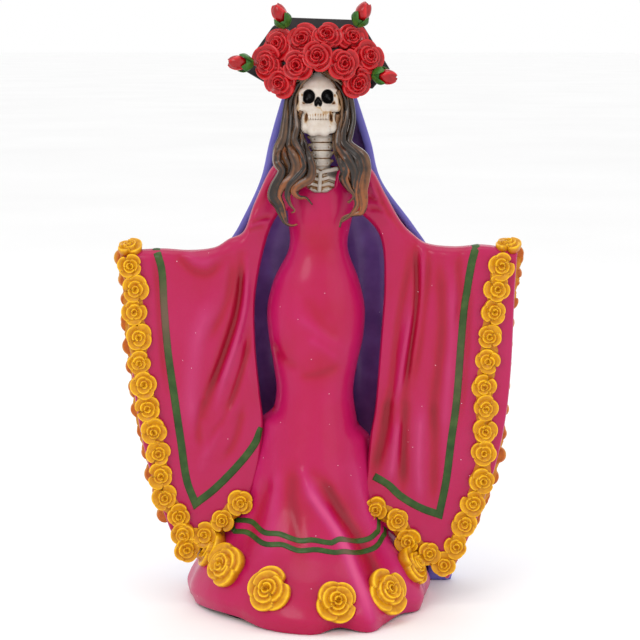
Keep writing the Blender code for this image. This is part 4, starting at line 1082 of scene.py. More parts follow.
def make_skirt_ribbons(dress, flounce, paint):
    """Two wavy ribbons round the skirt, following the drawn line in front and the flounce's edge behind."""
    skirt = surface_of(joined([dress, flounce]))
    for name, front, lift, drop in (
        ("upper_skirt_ribbon", UPPER_RIBBON_LINE, 4.7, 0.0),
        ("lower_skirt_ribbon", LOWER_RIBBON_LINE, -1.5, 1.0),
    ):
        drawn = np.array([seen_on(skirt, (x, -41, z - drop))[0] for x, z in line_through(front, 60)])
        angles = np.arctan2(drawn[:, 1], drawn[:, 0] + 5)
        behind = np.linspace(angles[-1] + 0.25, angles[0] + TAU - 0.25, 26)
        rows = [(a, z) for a, z in zip(angles, drawn[:, 2])]
        rows += [(a, h) for a, h in zip(behind, flounce_top(behind) + lift)]
        rows.append((angles[0] + TAU, drawn[0, 2]))
        around = np.linspace(rows[0][0], rows[-1][0], 300)
        heights = curve_at(rows, around)[:, 0]
        line, _ = dress_points(around, heights)
        part = laid_strip(skirt, line, RIBBON_HIGH, RIBBON_THICK)
        part[2]["worn"] = 0.75 * np.exp(-(((part[0][:, 0] - 13) / 3.5) ** 2)) * (part[0][:, 1] < 0)
        add_piece(name.replace("ribbon", "band"), part, paint, "ribbon_paint", name)


# ---------------------------------------------------------------- sleeves with their stripes and garlands
def sleeve_points(side, along, down, face):
    """Points of a sleeve: along the arm, down from its ridge, and on its front (-1) or back (1)."""
    top = curve_at(RIDGES[side], along)
    low = curve_at(LOWERS[side], along)
    bow = SLEEVE_BOW[side] * along**3 * np.sin(math.pi * down**1.25)
    x = top[..., 0] + (low[..., 0] - top[..., 0]) * down + bow
    z = top[..., 1] + (low[..., 1] - top[..., 1]) * down
    middle = curve_at(SLEEVE_MIDDLE_Y, along)[..., 0]
    half = curve_at(SLEEVE_HALF_THICK, along)[..., 0]
    length = np.hypot(low[..., 0] - top[..., 0], low[..., 1] - top[..., 1])
    top_round = np.sqrt(np.maximum(0, 1 - np.maximum(0, 1 - down * length / half) ** 2))
    low_round = np.sqrt(np.maximum(0, 1 - np.maximum(0, 1 - (1 - down) * length / SLEEVE_HEM) ** 2))
    thick = (half + (SLEEVE_HEM - half) * down) * top_round * low_round
    x = SIGN[side] * x
    rim = np.minimum(top_round, low_round) * (1 - ease(along, 0.96, 1.0))
    y = middle + face * thick
    drawn = 1.15 * folds_at(x, z, SLEEVE_FOLDS[side]) * rim
    y = y - np.where(face < 0, drawn, -0.55 * drawn * (face > 0))
    # Tone: painted shade in the fold valleys and painted highlight on their ridges, stronger on the front
    # than the back, and the paint lighter towards the outer end.
    tone = np.where(face < 0, 0.46, 0.25) * drawn - 0.05 + 0.18 * ease(along, 0.72, 1.0)
    return np.stack([x, y, z], -1), tone


def make_sleeve(side, paint):
    """One sleeve: the arm at its upper end widens into a hanging sheet with a rounded outer edge."""
    even = np.linspace(0, 1, 130)
    share = 0.75 * even + 0.25 * (0.5 - 0.5 * np.cos(even * math.pi))
    back = share[::-2][1:-1]
    downs = np.concatenate([share, back])
    faces = np.concatenate([np.full(len(share), -1.0), np.full(len(back), 1.0)])
    along = np.linspace(0.0, 1.0, 190)
    grid = np.meshgrid(along, downs, indexing="ij")
    points, tone = sleeve_points(side, *grid, np.broadcast_to(faces, grid[0].shape))
    rims, last = [], points[-1]
    middle = sleeve_points(side, np.ones_like(downs), downs, np.zeros_like(downs))[0]
    for k in range(1, RIM_STEPS + 1):
        turn = math.pi / 2 * k / RIM_STEPS
        rim = middle + (last - middle) * math.cos(turn)
        rim[:, 0] += SIGN[side] * 1.1 * math.sin(turn)
        rims.append(rim)
    points = np.concatenate([points, np.array(rims)])
    # The rounded outer edge is painted lighter, a painted highlight.
    tone = np.concatenate([tone, np.repeat(tone[-1:], RIM_STEPS, 0) + 0.25])
    part = grid_part(points, capped=True, tone=tone)
    add_piece(f"{side}_hanging_sleeve", part, paint, "dress_paint", f"{side}_sleeve")
    return part


def make_sleeve_stripe(side, sleeve, paint):
    """The green stripe: from over the ridge down to a sharp corner, then up along the hem."""
    surface = surface_of(sleeve)
    outer, inner = STRIPES[side]
    legs = [line_through(outer, 60), line_through(inner, 36)[1:]]
    line = [seen_on(surface, (x, -15, z))[0] for x, z in np.concatenate(legs)]
    over = []
    for k in (6, 5, 4, 3, 2, 1):
        place = line[0] + np.array((-SIGN[side] * 0.2 * k, 1.1 * k, 0.5 - 0.12 * k * k))
        over.append(np.array(surface.find_nearest(Vector(place))[0]))
    part = laid_strip(surface, np.array(over + line), STRIPE_WIDE, STRIPE_THICK)
    share, height, length = STRIPE_WEAR[side]
    part[2]["worn"] = share * np.exp(-(((part[0][:, 2] - height) / length) ** 2))
    add_piece(f"{side}_sleeve_stripe", part, paint, "ribbon_paint", f"{side}_sleeve_ribbon")


def petals_of(rng, rings, turn):
    """Every petal of a unit rose as (its rim's reach at each angle, its height at each angle)."""
    petals = []
    for count, span, reach, top in rings:
        start = rng.uniform(0, TAU)
        for k in range(count):
            middle = start + TAU * k / count + rng.uniform(-0.3, 0.3)
            share = ((turn - middle + math.pi) % TAU - math.pi) / (span / 2)
            rim = 1 - 0.20 * share**2 - 0.5 * ease(np.abs(share), 0.8, 1.0)
            rim *= reach * rng.uniform(0.88, 1.06)
            rim = np.where(np.abs(share) < 1, rim, 0.01)
            petals.append((rim, top * rng.uniform(0.97, 1.03) + PETAL_TILT * share))
    return petals


def rose_part(seed, radius, high, rings, around=72, rows=28):
    """A paper rose as one rounded form of overlapping petals, with painted highlight on the rims and
    painted shade in the seams and under its edge.
    """
    rng = np.random.default_rng(seed)
    turn = np.linspace(0, TAU, around, endpoint=False)
    petals = petals_of(rng, rings, turn)
    outline = np.max([rim for rim, _ in petals], axis=0)
    outline = (outline + np.roll(outline, 1) + np.roll(outline, -1)) / 3
    away = np.linspace(0.02, 1, rows)[:, None] * outline
    height, lip, seam_shade = np.zeros(away.shape), np.full(away.shape, 0.5), np.zeros(away.shape)
    for rim, top in petals:
        rise = top - PETAL_CUP * ease(1 - away / rim, 0, 0.55) - 0.03 * ease(away / rim, 0.9, 1.0)
        rise = rise - PETAL_FALL * np.maximum(away - rim, 0)
        # The top petal at each point is painted lighter towards its rim, a painted highlight.
        lip = np.where(rise > height, 0.6 + 0.4 * np.exp(-(((away - rim) / 0.07) ** 2)), lip)
        height = np.maximum(height, rise)
    # Painted shade just outside each petal's rim, where the surface below lies lower.
    for rim, top in petals:
        beyond = away - rim
        shade = np.exp(-np.abs(beyond) / 0.05) * (beyond > 0) * ease(top - height, 0.02, 0.12)
        seam_shade = np.maximum(seam_shade, shade)
    height = height - 0.14 * np.exp(-((away / 0.06) ** 2))
    edge = height[-1]
    # Three edge rows curl under the rose and are painted darker, a painted shade.
    away = np.concatenate([away, outline * np.array((1.03, 1.0, 0.9))[:, None]])
    height = np.concatenate([height, edge * np.array((0.72, 0.35, -0.1))[:, None]])
    lip = np.concatenate([lip - 0.55 * seam_shade, np.array((0.55, 0.35, 0.15))[:, None] * np.ones(around)])
    points = np.stack([away * np.cos(turn), away * np.sin(turn), height], -1)
    points = points * (radius * rng.uniform(0.95, 1.03), radius * rng.uniform(0.97, 1.08), high)
    return grid_part(points, capped=True, lip=lip)


def rose_row(name, roses, strip, radius, high, paint, node, seed):
    """A garland as one piece: roses on the paper strip that carries them, both as (place, facing)."""
    rng = np.random.default_rng(seed)
    parts = []
    for k, (place, facing) in enumerate(roses):
        facing = unit(np.array(facing) + rng.normal(0, 0.10, 3))
        size = radius * rng.uniform(0.93, 1.06)
        rose = rose_part(seed * 100 + k, size, high * rng.uniform(0.92, 1.08), SMALL_ROSE)
        parts.append(turned_to(rose, place, facing))
    line, facing = (np.array(values) for values in zip(*strip))
    widths = np.full(len(line), radius * 1.35) * (1 + 0.12 * np.sin(np.arange(len(line)) * 1.9))
    parts.append(swept(line, widths, np.full(len(line), 3.0), facing, lip=0.45))
    add_piece(name, joined(parts), paint, "marigold_paint", node)


def make_front_garland(side, sleeve, paint):
    surface = surface_of(sleeve)
    roses = []
    for k, (x, z) in enumerate(FRONT_ROSES[side]):
        place, normal = seen_on(surface, (x, -16, z))
        facing = np.array((0, -1.0, 0.03)) * 0.7 + normal * 0.3
        if k == 0:
            facing = np.array((0.05 * SIGN[side], -0.35, 1.0))
            place = np.array(surface.find_nearest(Vector((x, -11, z + 3)))[0])
        roses.append((place - unit(facing) * ROSE_SINK, facing))
    path = line_through([place for place, _ in roses], 70)
    strip = [(place, (0, -1, 0.05)) for place in path + np.array((0, -0.3, 0))]
    name, node, size = f"{side}_front_roses", f"{side}_front_garland", (FRONT_ROSE_RADIUS, FRONT_ROSE_DEEP)
    rose_row(name, roses, strip, *size, paint, node, 3 + SIGN[side])


def make_rear_garland(side, sleeve, paint):
    surface = surface_of(sleeve)
    line = line_through(REAR_LINES[side], REAR_ROSES)
    roses = []
    for x, z in line:
        place, normal, _, _ = surface.find_nearest(Vector((SIGN[side] * x, 0, z)))
        facing = unit(np.array((0.25 * SIGN[side], 1.0, 0)) * 0.7 + np.array(normal) * 0.3)
        roses.append((np.array(place) - facing * ROSE_SINK, facing))
    path = line_through([place for place, _ in roses], 50)
    strip = [(place, (0, 1, 0)) for place in path]
    name, node, size = f"{side}_rear_roses", f"{side}_rear_garland", (REAR_ROSE_RADIUS, REAR_ROSE_DEEP)
    rose_row(name, roses, strip, *size, paint, node, 9 + SIGN[side])


def make_hem_roses(flounce, dress, paint):
    surface = surface_of(joined([flounce, dress]))
    for k, (degrees, height, share) in enumerate(HEM_ROSES):
        angle = math.radians(degrees - 90)
        place, _ = dress_points(np.array(angle), np.array(height))
        place, normal, _, _ = surface.find_nearest(Vector(place))
        outwards = np.array((math.cos(angle), math.sin(angle) - 0.15, 0.30))
        facing = unit(np.array(normal) * 0.55 + outwards * 0.45)
        part = rose_part(40 + k, HEM_ROSE_RADIUS * share, HEM_ROSE_DEEP, HEM_ROSE, 110, 40)
        part = turned_to(part, np.array(place) - facing * HEM_ROSE_SINK, facing, k * 1.3)
        add_piece(f"hem_marigold_{k + 1}", part, paint, "marigold_paint", f"hem_rose_{k + 1}")


# ---------------------------------------------------------------- cape
def make_cape(paint):
    """One sheet from the hat to the floor, open in front, with soft folds down its back."""
    heights = np.concatenate([np.linspace(0.5, 240, 110), np.linspace(242, 262, 12)])
    left, right, edge, back = np.moveaxis(curve_at(CAPE, heights), -1, 0)
    turn = math.pi * (np.linspace(0, 1, 150) - 0.5)
    middle, half = (left + right) / 2, (right - left) / 2
    deep = 1 - ease(heights, 60, 250)
    places = np.stack(np.meshgrid(heights, turn * 40, indexing="ij"), -1)
    fold = np.cos(turn * 9 + 0.5 * np.sin(turn * 2)) * np.cos(turn) ** 0.5
    fold = np.outer(0.7 + 2.3 * deep, fold) + 0.5 * wobble(places, 30, 5) - 1.2 * deep[:, None]
    fold = fold * ease(np.cos(turn), 0.05, 0.4)
    border = 1 - ease(np.cos(turn), 0.0, 0.35)
    turned_up = np.outer(1 - ease(heights, 16, 30), border * (turn > 0))

    def sheet(thin):
        thin = thin * (1 + 1.3 * border + 5.2 * turned_up)
        x = middle[:, None] + (half[:, None] - thin + 0.35 * fold) * np.sin(turn)
        y = edge[:, None] + ((back - edge)[:, None] - thin + fold) * np.cos(turn)
        return np.stack([x, y, np.repeat(heights[:, None], len(turn), 1)], -1)

    outer, inner = sheet(0.0), sheet(CAPE_PAPER)[:, ::-1]
    rim, bulge = 4, np.array((0, -0.9, 0))
    steps = [math.pi * k / (rim + 1) for k in range(1, rim + 1)]
    joins = []
    for start, end in ((outer[:, -1], inner[:, 0]), (inner[:, -1], outer[:, 0])):
        centre, arm = (start + end) / 2, (start - end) / 2
        joins.append(np.stack([centre + arm * math.cos(t) + bulge * math.sin(t) for t in steps], 1))
    points = np.concatenate([outer, joins[0], inner, joins[1]], 1)
    columns = len(turn)
    inside = np.repeat((0.0, 1.0, 0.0), (columns + rim, columns, rim))
    inside[[columns + rim, 2 * columns + rim - 1]] = 0.3
    inside = inside * (0.15 + 0.85 * ease(heights, 20, 55)[:, None])
    part = grid_part(points, capped=True, inside=inside)
    add_piece("cape_sheet", part, paint, "cape_paint", "cape")


# ---------------------------------------------------------------- bones
def bone_values(part, holes=()):
    """Adds the wash, from how deep each point lies, and the black of the holes."""
    points, faces, _ = part
    fine, broad = hollows_of(points, faces, 3), hollows_of(points, faces, 14)
    wash = np.clip(fine * 7.0 + broad * 2.4 - 0.05, 0, 1)
    hole = np.zeros(len(points))
    for centre, radii in holes:
        field = ball_field(points, centre, np.array(radii) * HOLE_PAINT)
        hole = np.maximum(hole, ease(-field, -0.45, -0.15))
    return points, faces, {"wash": wash, "hole": hole}


def narrowed(part, share):
    """The part drawn in towards the middle of the face, sideways only."""
    points, faces, layers = part
    return points * (share, 1, 1) + (FACE_MIDDLE * (1 - share), 0, 0), faces, layers


def cheek_stain(points):
    """Brown paint left in the two recesses below the cheekbones."""
    side = (np.abs(points[:, 0] - FACE_MIDDLE) - 6.1) / 0.8
    return 0.95 * np.exp(-(side**2) - ((points[:, 2] - 244.6) / 2.4) ** 2)


def with_bars(field, places, bars, middle, side):
    """The field with tapered bars blended in on one side of a middle plane, their x being outwards."""
    for start, end, radii, fillet in bars:
        start, end = ((middle + side * x, y, z) for x, y, z in (start, end))
        field = blend_in(field, rod_field(places, start, end, *radii), fillet)
    return field


def with_teeth(field, places, pitch, front, bow, height, radii):
    """The field with a row of teeth that follows the bow of the mouth."""
    for k in range(TEETH):
        x = TEETH_MIDDLE + (k - (TEETH - 1) / 2) * pitch
        tooth = ball_field(places, (x, front + bow * (x - TEETH_MIDDLE) ** 2, height), radii)
        field = blend_in(field, tooth, 0.25)
    return field


def make_skull(paint):
    """The skull as one carved form: brain case, brows, cheekbones, nose, upper jaw and its teeth."""
    step = 0.34
    low = np.array((-14.5, -20.0, 240.5))
    places = grid_places(low, (13.5, 13.0, 270.0), step)
    field = ball_field(places, (-0.6, -2.5, 255.2), (10.9, 13.4, 11.0))
    field = blend_in(field, ball_field(places, (-0.6, -7.0, 258.2), (8.6, 8.4, 7.6)), 2.0)
    for side in (-1, 1):
        field = with_bars(field, places, SKULL_BARS, FACE_MIDDLE, side)
        ear = ball_field(places, (FACE_MIDDLE + side * 10.4, -7.6, 254.6), (1.0, 1.4, 1.6))
        field = blend_in(field, ear, 0.6)
    nose_bridge = rod_field(places, (-0.8, -14.6, 257.6), (-0.9, -15.6, 253.6), 1.3, 1.2)
    field = blend_in(field, nose_bridge, 1.3)
    muzzle = ball_field(places, (-0.9, -10.4, 246.8), (7.2, 5.3, 5.2))
    field = blend_in(field, muzzle, 1.4)
    for centre, radii in SKULL_HOLES:
        field = carve(field, ball_field(places, centre, radii), 0.5)
    for side in (-1, 1):
        mouth_corner = ball_field(places, (FACE_MIDDLE + side * 6.3, -15.0, 244.6), (1.1, 3.6, 2.6))
        field = carve(field, mouth_corner, 0.7)
        temple = ball_field(places, (FACE_MIDDLE + side * 11.8, -9.5, 254.0), (1.6, 3.0, 2.6))
        field = carve(field, temple, 0.8)
    field = with_teeth(field, places, 1.28, -15.4, 0.075, 245.2, (0.68, 0.95, 1.45))
    points, faces, layers = narrowed(bone_values(net_part(field, low, step), SKULL_HOLES), SKULL_NARROW)
    flank = np.abs(points[:, 0] - FACE_MIDDLE) + 0.25 * np.maximum(points[:, 2] - 256, 0) ** 1.2
    # Darker towards the skull's sides and upper flanks, and brown in the recesses below the cheekbones.
    darkening = 0.40 * ease(flank, 8.2, 10.2) + cheek_stain(points)
    layers["wash"] = np.clip(layers["wash"] + darkening, 0, 1)
    add_piece("skull_bone", (points, faces, layers), paint, "bone_paint", "skull")


def make_jaw(paint):
    """The lower jaw: a horseshoe from cheek to cheek, with teeth and a broad two-lobed chin."""
    step = 0.32
    low = np.array((-12.5, -20.0, 232.0))
    places = grid_places(low, (11.5, 2.0, 249.0), step)
    field = np.full(places.shape[:3], 1e3)
    for side in (-1, 1):
        field = with_bars(field, places, JAW_BARS, JAW_MIDDLE, side)
        lobe = ball_field(places, (JAW_MIDDLE + side * 3.4, -14.2, 238.6), (3.0, 2.3, 2.3))
        field = blend_in(field, lobe, 0.9)
        field = with_bars(field, places, JAW_RISE, JAW_MIDDLE, side)
    body = ball_field(places, (JAW_MIDDLE, -10.6, 241.4), (8.0, 5.0, 4.6))
    field = blend_in(field, body, 1.2)
    field = with_teeth(field, places, 1.22, -14.7, 0.08, 243.0, (0.64, 0.7, 1.35))
    points, faces, layers = narrowed(bone_values(net_part(field, low, step)), JAW_NARROW)
    layers["wash"] = np.clip(layers["wash"] + cheek_stain(points), 0, 1)
    add_piece("jaw_bone", (points, faces, layers), paint, "bone_paint", "jaw")


def make_vertebrae(paint):
    """Four neck bones, stacked as a column, each a waisted drum with small wings and pits at its sides."""
    step = 0.32
    pitch = VERTEBRA_HIGH + SEAM
    for k in range(VERTEBRAE):
        foot = NECK_FOOT + k * pitch
        wide = 4.9 + 0.40 * k
        low = np.array((-9.0, -13.0, foot - 1.0))
        places = grid_places(low, (9.5, 4.0, foot + pitch + 1.0), step)
        middle = np.array((0.8, -4.8, foot + pitch / 2 - 0.1))
        rise = (places[..., 2] - middle[2]) / (pitch / 2)
        bulge = 1 - 0.10 * np.abs(rise) ** 4 + 0.05 * np.cos(rise * 5)
        away = np.hypot((places[..., 0] - middle[0]) / wide, (places[..., 1] - middle[1]) / 5.4)
        field = np.maximum((away - bulge) * 4.6, (np.abs(rise) - 1.0) * pitch / 2 + 0.06)
        for side in (-1, 1):
            tip = middle + (side * (wide + 0.4), -1.4, 0.6)
            root = middle + (side * wide * 0.5, -2.4, -0.4)
            field = blend_in(field, rod_field(places, root, tip, 1.0, 0.7), 0.5)
            pit = middle + (side * wide * 0.62, -4.9, -0.5)
            field = carve(field, ball_field(places, pit, (0.5, 1.1, 0.7)), 0.4)
        part = bone_values(net_part(field, low, step))
        points, _, layers = part
        edge = np.abs(points[:, 2] - middle[2]) / (pitch / 2)
        flank = np.abs(points[:, 0] - middle[0]) / wide
        # Darker at each bone's top and bottom edges and at its sides.
        darkening = 0.70 * ease(edge, 0.72, 1.0) + 0.35 * ease(flank, 0.72, 1.0)
        layers["wash"] = np.clip(layers["wash"] * 0.7 + darkening, 0, 1)
        add_piece(f"neck_bone_{k + 1}", part, paint, "bone_paint", f"neck_vertebra_{k + 1}")


def make_ribcage(paint):
    """The chest seen in the neckline: collarbones, breastbone and three pairs of ribs."""
    step = 0.36
    low = np.array((-16.5, -13.5, 195.0))
    places = grid_places(low, (17.5, 11.5, 223.5), step)
    field = ball_field(places, (0.5, 0.0, 206.0), (12.4, 10.2, 15.0))
    field = blend_in(field, rod_field(places, (0.5, -4.2, 214), (0.8, -4.4, 222), 4.6, 4.2), 2.5)
    bars = [((0.2, -9.6, 217.6), (-0.4, -10.2, 207.0), 1.0, 1.0)]
    bars.append(((1.6, -9.4, 218.2), (8.2, -7.8, 219.4), 0.95, 1.1))
    bars.append(((-1.2, -9.4, 218.4), (-6.2, -7.8, 219.6), 0.95, 1.0))
    for z in (214.4, 211.4, 208.4):
        for inner, bend, outer in ((1.0, 4.4, 8.6), (-1.2, -4.4, -8.4)):
            elbow = (bend, -9.3, z + 1.0)
            bars.append(((inner, -9.5, z), elbow, 0.75, 0.8))
            bars.append((elbow, (outer, -7.6, z - 0.6), 0.8, 0.7))
    for start, end, first, last in bars:
        field = blend_in(field, rod_field(places, start, end, first, last), 0.35)
    points, faces, layers = bone_values(net_part(field, low, step))
    layers["wash"] = 0.6 * layers["wash"]
    add_piece("rib_chest", (points, faces, layers), paint, "bone_paint", "ribcage")


# ---------------------------------------------------------------- hair
def hair_mass(sections, columns=60):
    """The smooth mass behind the strands, with grooves running down it."""
    heights = np.linspace(HAIR_MASS_FOOT, sections[0][0], 100)
    x_low, x_high, y_low, y_high = np.moveaxis(curve_at(sections[::-1], heights), -1, 0)
    turn = np.linspace(0, TAU, columns, endpoint=False)
    groove = np.sin(turn[None] * 6 + 0.9 * np.sin(heights[:, None] / 7)) * 0.25
    close = 1 - 0.6 * (1 - ease(heights, HAIR_MASS_FOOT, HAIR_MASS_FOOT + 12))[:, None]
    wide = ((x_high - x_low)[:, None] / 2 - 1.3) * close
    deep = ((y_high - y_low)[:, None] / 2 - 0.8) * close
    x = (x_low + x_high)[:, None] / 2 + (wide + groove) * np.cos(turn)
    y = (y_low + y_high)[:, None] / 2 + 0.9 + (deep + groove) * np.sin(turn)
    points = np.stack([x, y, np.repeat(heights[:, None], columns, 1)], -1)
    # The mass is painted darker than the locks in front of it, a painted shade, and lighter on its ridges.
    return grid_part(points, capped=True, lip=0.16 + 0.4 * groove, bronze=0.0)


def strand(line, wide, thick, seed):
    """One lock of hair: broad and nearly smooth, with a few soft furrows, and a narrow tip."""
    rng = np.random.default_rng(seed)
    path = line_through(line, 90)
    sides = 28
    share = np.linspace(0, 1, len(path))
    taper = 0.58 + 0.42 * ease(share, 0.28, 0.55)
    taper *= 1 - 0.80 * ease(share, 0.70, 1.0) ** 1.3
    widths = wide * taper * (1 + 0.12 * np.sin(share * 15 + rng.uniform(0, 6)))
    facing = np.stack([0.5 * np.sin(share * 6 + seed), -np.ones(len(path)), 0.1 * np.cos(share * 9)], -1)
    bronze = ease(share, 0.45, 0.62) * (0.55 + 0.45 * np.sin(share * 12 + rng.uniform(0, 6)))
    part = swept(path, widths, thick * taper, facing, lobes=rng.choice((3, 5)), sides=sides, lip=0.0)
    turn = np.linspace(0, TAU, sides, endpoint=False)
    drift = rng.uniform(0, 6)
    # Painted highlight on the crests of each lock and towards its root, and painted shade in its furrows.
    crest = np.cos(turn[None] * 5 + 2.0 * np.sin(share[:, None] * 4 + drift) + drift)
    fine = np.cos(turn[None] * 9 - 1.5 * np.sin(share[:, None] * 6 + drift))
    raised = 0.38 + 0.15 * crest + 0.07 * fine + 0.20 * np.sin(share[:, None] * 8 + turn[None] + drift)
    raised = raised + 0.30 * (1 - ease(share, 0.05, 0.35))[:, None]
    part[2]["lip"] = np.clip(np.concatenate([raised.reshape(-1), raised[[0, -1]].mean(1)]), 0, 1)
    part[2]["bronze"] = np.concatenate([np.repeat(bronze, sides), bronze[[0, -1]]])
    return part


def lock_line(k, upper, lower):
    """A lock's line in space: its upper part lies close to the head, and its lower part hangs in front."""
    share = np.linspace(0, 1, len(upper))
    depths = -8.0 - 3.5 * (1 - ease(share, 0, 0.3)) - 4.5 * ease(share, 0.35, 1.0) - 0.4 * k
    line = [(x * HAIR_NARROW, y, z) for (x, z), y in zip(upper, depths)]
    depths = -16.5 - 0.6 * k - 1.2 * np.sin(np.linspace(0.3, 1, len(lower)) * math.pi)
    return line + [(x, y, z) for (x, z), y in zip(lower, depths)]


def make_hair(paint):
    """The locks of each side, the strands that lie between two locks, and the mass behind them."""
    for side, sections in ((LEFT, LEFT_HAIR), (RIGHT, RIGHT_HAIR)):
        parts = [hair_mass(sections)]
        lines = [lock_line(k, upper, lower) for k, (upper, lower) in enumerate(HAIR_LOCKS[side])]
        for k, line in enumerate(lines):
            parts.append(strand(line, LOCK_WIDE - LOCK_LOSS * k, LOCK_THICK, 10 * SIGN[side] + 30 + k))
            if k == 0:
                continue
            pair = [line_through(lines[n], BETWEEN_POINTS) for n in (k - 1, k)]
            between = (pair[0] + pair[1]) / 2 + (0, 1.2, 0)
            between = between[LATE_START if k == LATE_STRAND else 0 : BETWEEN_END]
            parts.append(strand(between, BETWEEN_WIDE, BETWEEN_THICK, 10 * SIGN[side] + 60 + k))
        add_piece(f"{side}_hair_locks", joined(parts), paint, "hair_paint", f"{side}_hair")


# ---------------------------------------------------------------- hat and red flowers
def brim_axes():
    """The directions up along the leaning brim and out of its front."""
    up = np.array((0, math.sin(BRIM_LEAN), math.cos(BRIM_LEAN)))
    front = np.array((0, -math.cos(BRIM_LEAN), math.sin(BRIM_LEAN)))
    return up, front


def make_brim(paint):
    """A flat board with clipped corners and softly rounded edges."""
    up, front = brim_axes()
    outline = np.array(BRIM)
    edge = []
    for k, corner in enumerate(outline):
        a, b = outline[k - 1], outline[(k + 1) % len(outline)]
        for share in (0.96, 0.99, 1.0):
            edge.append(a + (corner - a) * share)
        for share in (0.01, 0.04, 0.3, 0.6):
            edge.append(corner + (b - corner) * share)
    edge = np.array(edge)
    middle = edge.mean(0)
    reach = np.linalg.norm(edge - middle, axis=1, keepdims=True)
    rows = []
    for inset, depth in BRIM_EDGE:
        flat = middle + (edge - middle) * np.maximum(reach - inset, 0.2) / reach
        board = np.array(BRIM_PIVOT) + np.outer(flat[:, 0], (1, 0, 0)) + np.outer(flat[:, 1], up)
        rows.append(board + front * depth * BRIM_THICK)
    add_piece("brim_board", grid_part(np.array(rows), capped=True), paint, "hat_paint", "hat_brim")


def make_crown(paint):
    """The low crown behind the brim, with a band round its foot."""
    up, front = brim_axes()
    foot = np.array(BRIM_PIVOT) + up * CROWN_UP - front * (BRIM_THICK / 2 + SEAM)
    part = turned_to(lathed(CROWN, 72), foot, -front)
    add_piece("crown_dome", part, paint, "hat_paint", "hat_crown")


def make_red_roses(paint):
    for k, (x, y, z) in enumerate(RED_ROSES):
        facing = unit(np.array((x * 0.022, -1.0, (z - 268) * 0.028)))
        foot = np.array((x, y, z)) - facing * RED_ROSE_SINK
        part = rose_part(70 + k, RED_ROSE_RADIUS, RED_ROSE_DEEP, RED_ROSE, 100, 40)
        part = turned_to(part, foot, facing, k * 0.9)
        add_piece(f"crown_rose_{k + 1:02d}", part, paint, "red_paint", f"red_rose_{k + 1:02d}")


def bud_part(seed):
    """A closed bud: three petals wrapped round each other."""
    share = np.linspace(0, 1, 40)
    turn = np.linspace(0, TAU, BUD_COLUMNS, endpoint=False)
    phase = (turn[None] * 3 / TAU + 0.55 * share[:, None] + seed * 0.37) % 1.0
    lap = phase * (1 - ease(phase, 0.88, 1.0))
    radius = curve_at(BUD_OUTLINE, share) * 0.92 + 0.42 * lap * ease(share, 0.1, 0.6)[:, None]
    height = BUD_LONG * share[:, None] + 0.9 * lap * share[:, None] ** 3
    points = np.stack([radius * np.cos(turn), radius * np.sin(turn), height], -1)
    # Painted highlight towards each petal's edge.
    lips = ease(phase, 0.6, 0.86) * (1 - ease(phase, 0.9, 1.0)) * 0.5 + 0.45
    # The closed top dips to a point painted dark, a painted shade.
    inner = points[-1] * (0.55, 0.55, 1) - (0, 0, 1.6)
    points = np.concatenate([points, inner[None]])
    lips = np.concatenate([lips, np.zeros((1, BUD_COLUMNS))])
    return grid_part(points, capped=True, lip=lips)


def sepal_part(length, turn):
    """A pointed sepal that hugs the bud: rows along the leaf, curved outwards round the bud."""
    share = np.linspace(0, 1, SEPAL_ROWS)
    reach = 1.4 + 2.9 * np.sin(np.clip(share * 1.25, 0, 1) * math.pi / 2)
    half = SEPAL_WIDE / 2 * np.sin(np.clip(share * 0.86 + 0.14, 0, 1) * math.pi) ** 0.8
    path = np.stack([reach * math.cos(turn), reach * math.sin(turn), length * share - 0.6], -1)
    facing = np.tile((math.cos(turn), math.sin(turn), 0.0), (SEPAL_ROWS, 1))
    return swept(path, 2 * half + 0.15, np.full(SEPAL_ROWS, 0.8), facing, sides=12)


def make_buds(red, green):
    """Each rosebud, and the cup of sepals that holds it, longer and shorter ones in turn."""
    for k, (foot, direction) in enumerate(BUDS):
        axis = unit(np.array(direction))
        bud = turned_to(bud_part(k), np.array(foot) + axis * BUD_RISE, axis, k)
        add_piece(f"closed_bud_{k + 1}", bud, red, "red_paint", f"rosebud_{k + 1}")
        sepals = [sepal_part(7.0 - 1.2 * (n % 2), TAU * n / SEPALS + 0.4 * k) for n in range(SEPALS)]
        part = turned_to(joined([lathed(SEPAL_CUP, 24), *sepals]), np.array(foot), axis)
        add_piece(f"bud_leaves_{k + 1}", part, green, "leaf_paint", f"bud_sepals_{k + 1}")


# ---------------------------------------------------------------- hidden solids and the studio
def finish_hidden_solids():
    """The core, base and armature keep their CAD solids, in paper, wood, felt and steel."""
    pulp_shades = shades((150, 138, 118), (178, 166, 146), (196, 186, 168))
    pulp = plain_paint("pasted_paper", pulp_shades, 0.008, (0.75, 0.95), 0.0, 0.0004)
    wood_shades = shades((120, 84, 50), (158, 118, 74), (184, 146, 98))
    wood = plain_paint("sawn_wood", wood_shades, 0.012, (0.6, 0.8), 0.0, 0.0003, (0.15, 1, 1))
    felt_shades = shades((26, 26, 27), (38, 38, 40), (52, 52, 54))
    felt = plain_paint("black_felt", felt_shades, 0.0012, (0.9, 1.0), 0.0, 0.0005)
    steel_shades = shades((120, 120, 122), (150, 150, 152), (176, 176, 178))
    steel = plain_paint("steel_wire", steel_shades, 0.004, (0.3, 0.5), 0.0, 0.00005)
    steel.node_tree.nodes["Principled BSDF"].inputs["Metallic"].default_value = 1.0
    materials = {
        "paper_core": pulp,
        "base_board": wood,
        "base_pad": felt,
        "armature_post": steel,
        "left_arm_wire": steel,
        "right_arm_wire": steel,
    }
    for node, material in materials.items():
        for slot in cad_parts[node].material_slots:
            slot.material = material


def make_lamp(name, place, size, power):
    lamp = bpy.data.lights.new(name, "AREA")
    lamp.shape = "DISK"
    lamp.size = size
    lamp.energy = power
    lamp_object = bpy.data.objects.new(name, lamp)
    bpy.context.scene.collection.objects.link(lamp_object)
    lamp_object.location = place
    lamp_object.rotation_euler = (Vector(LAMPS_AIM) - Vector(place)).to_track_quat("-Z", "Y").to_euler()


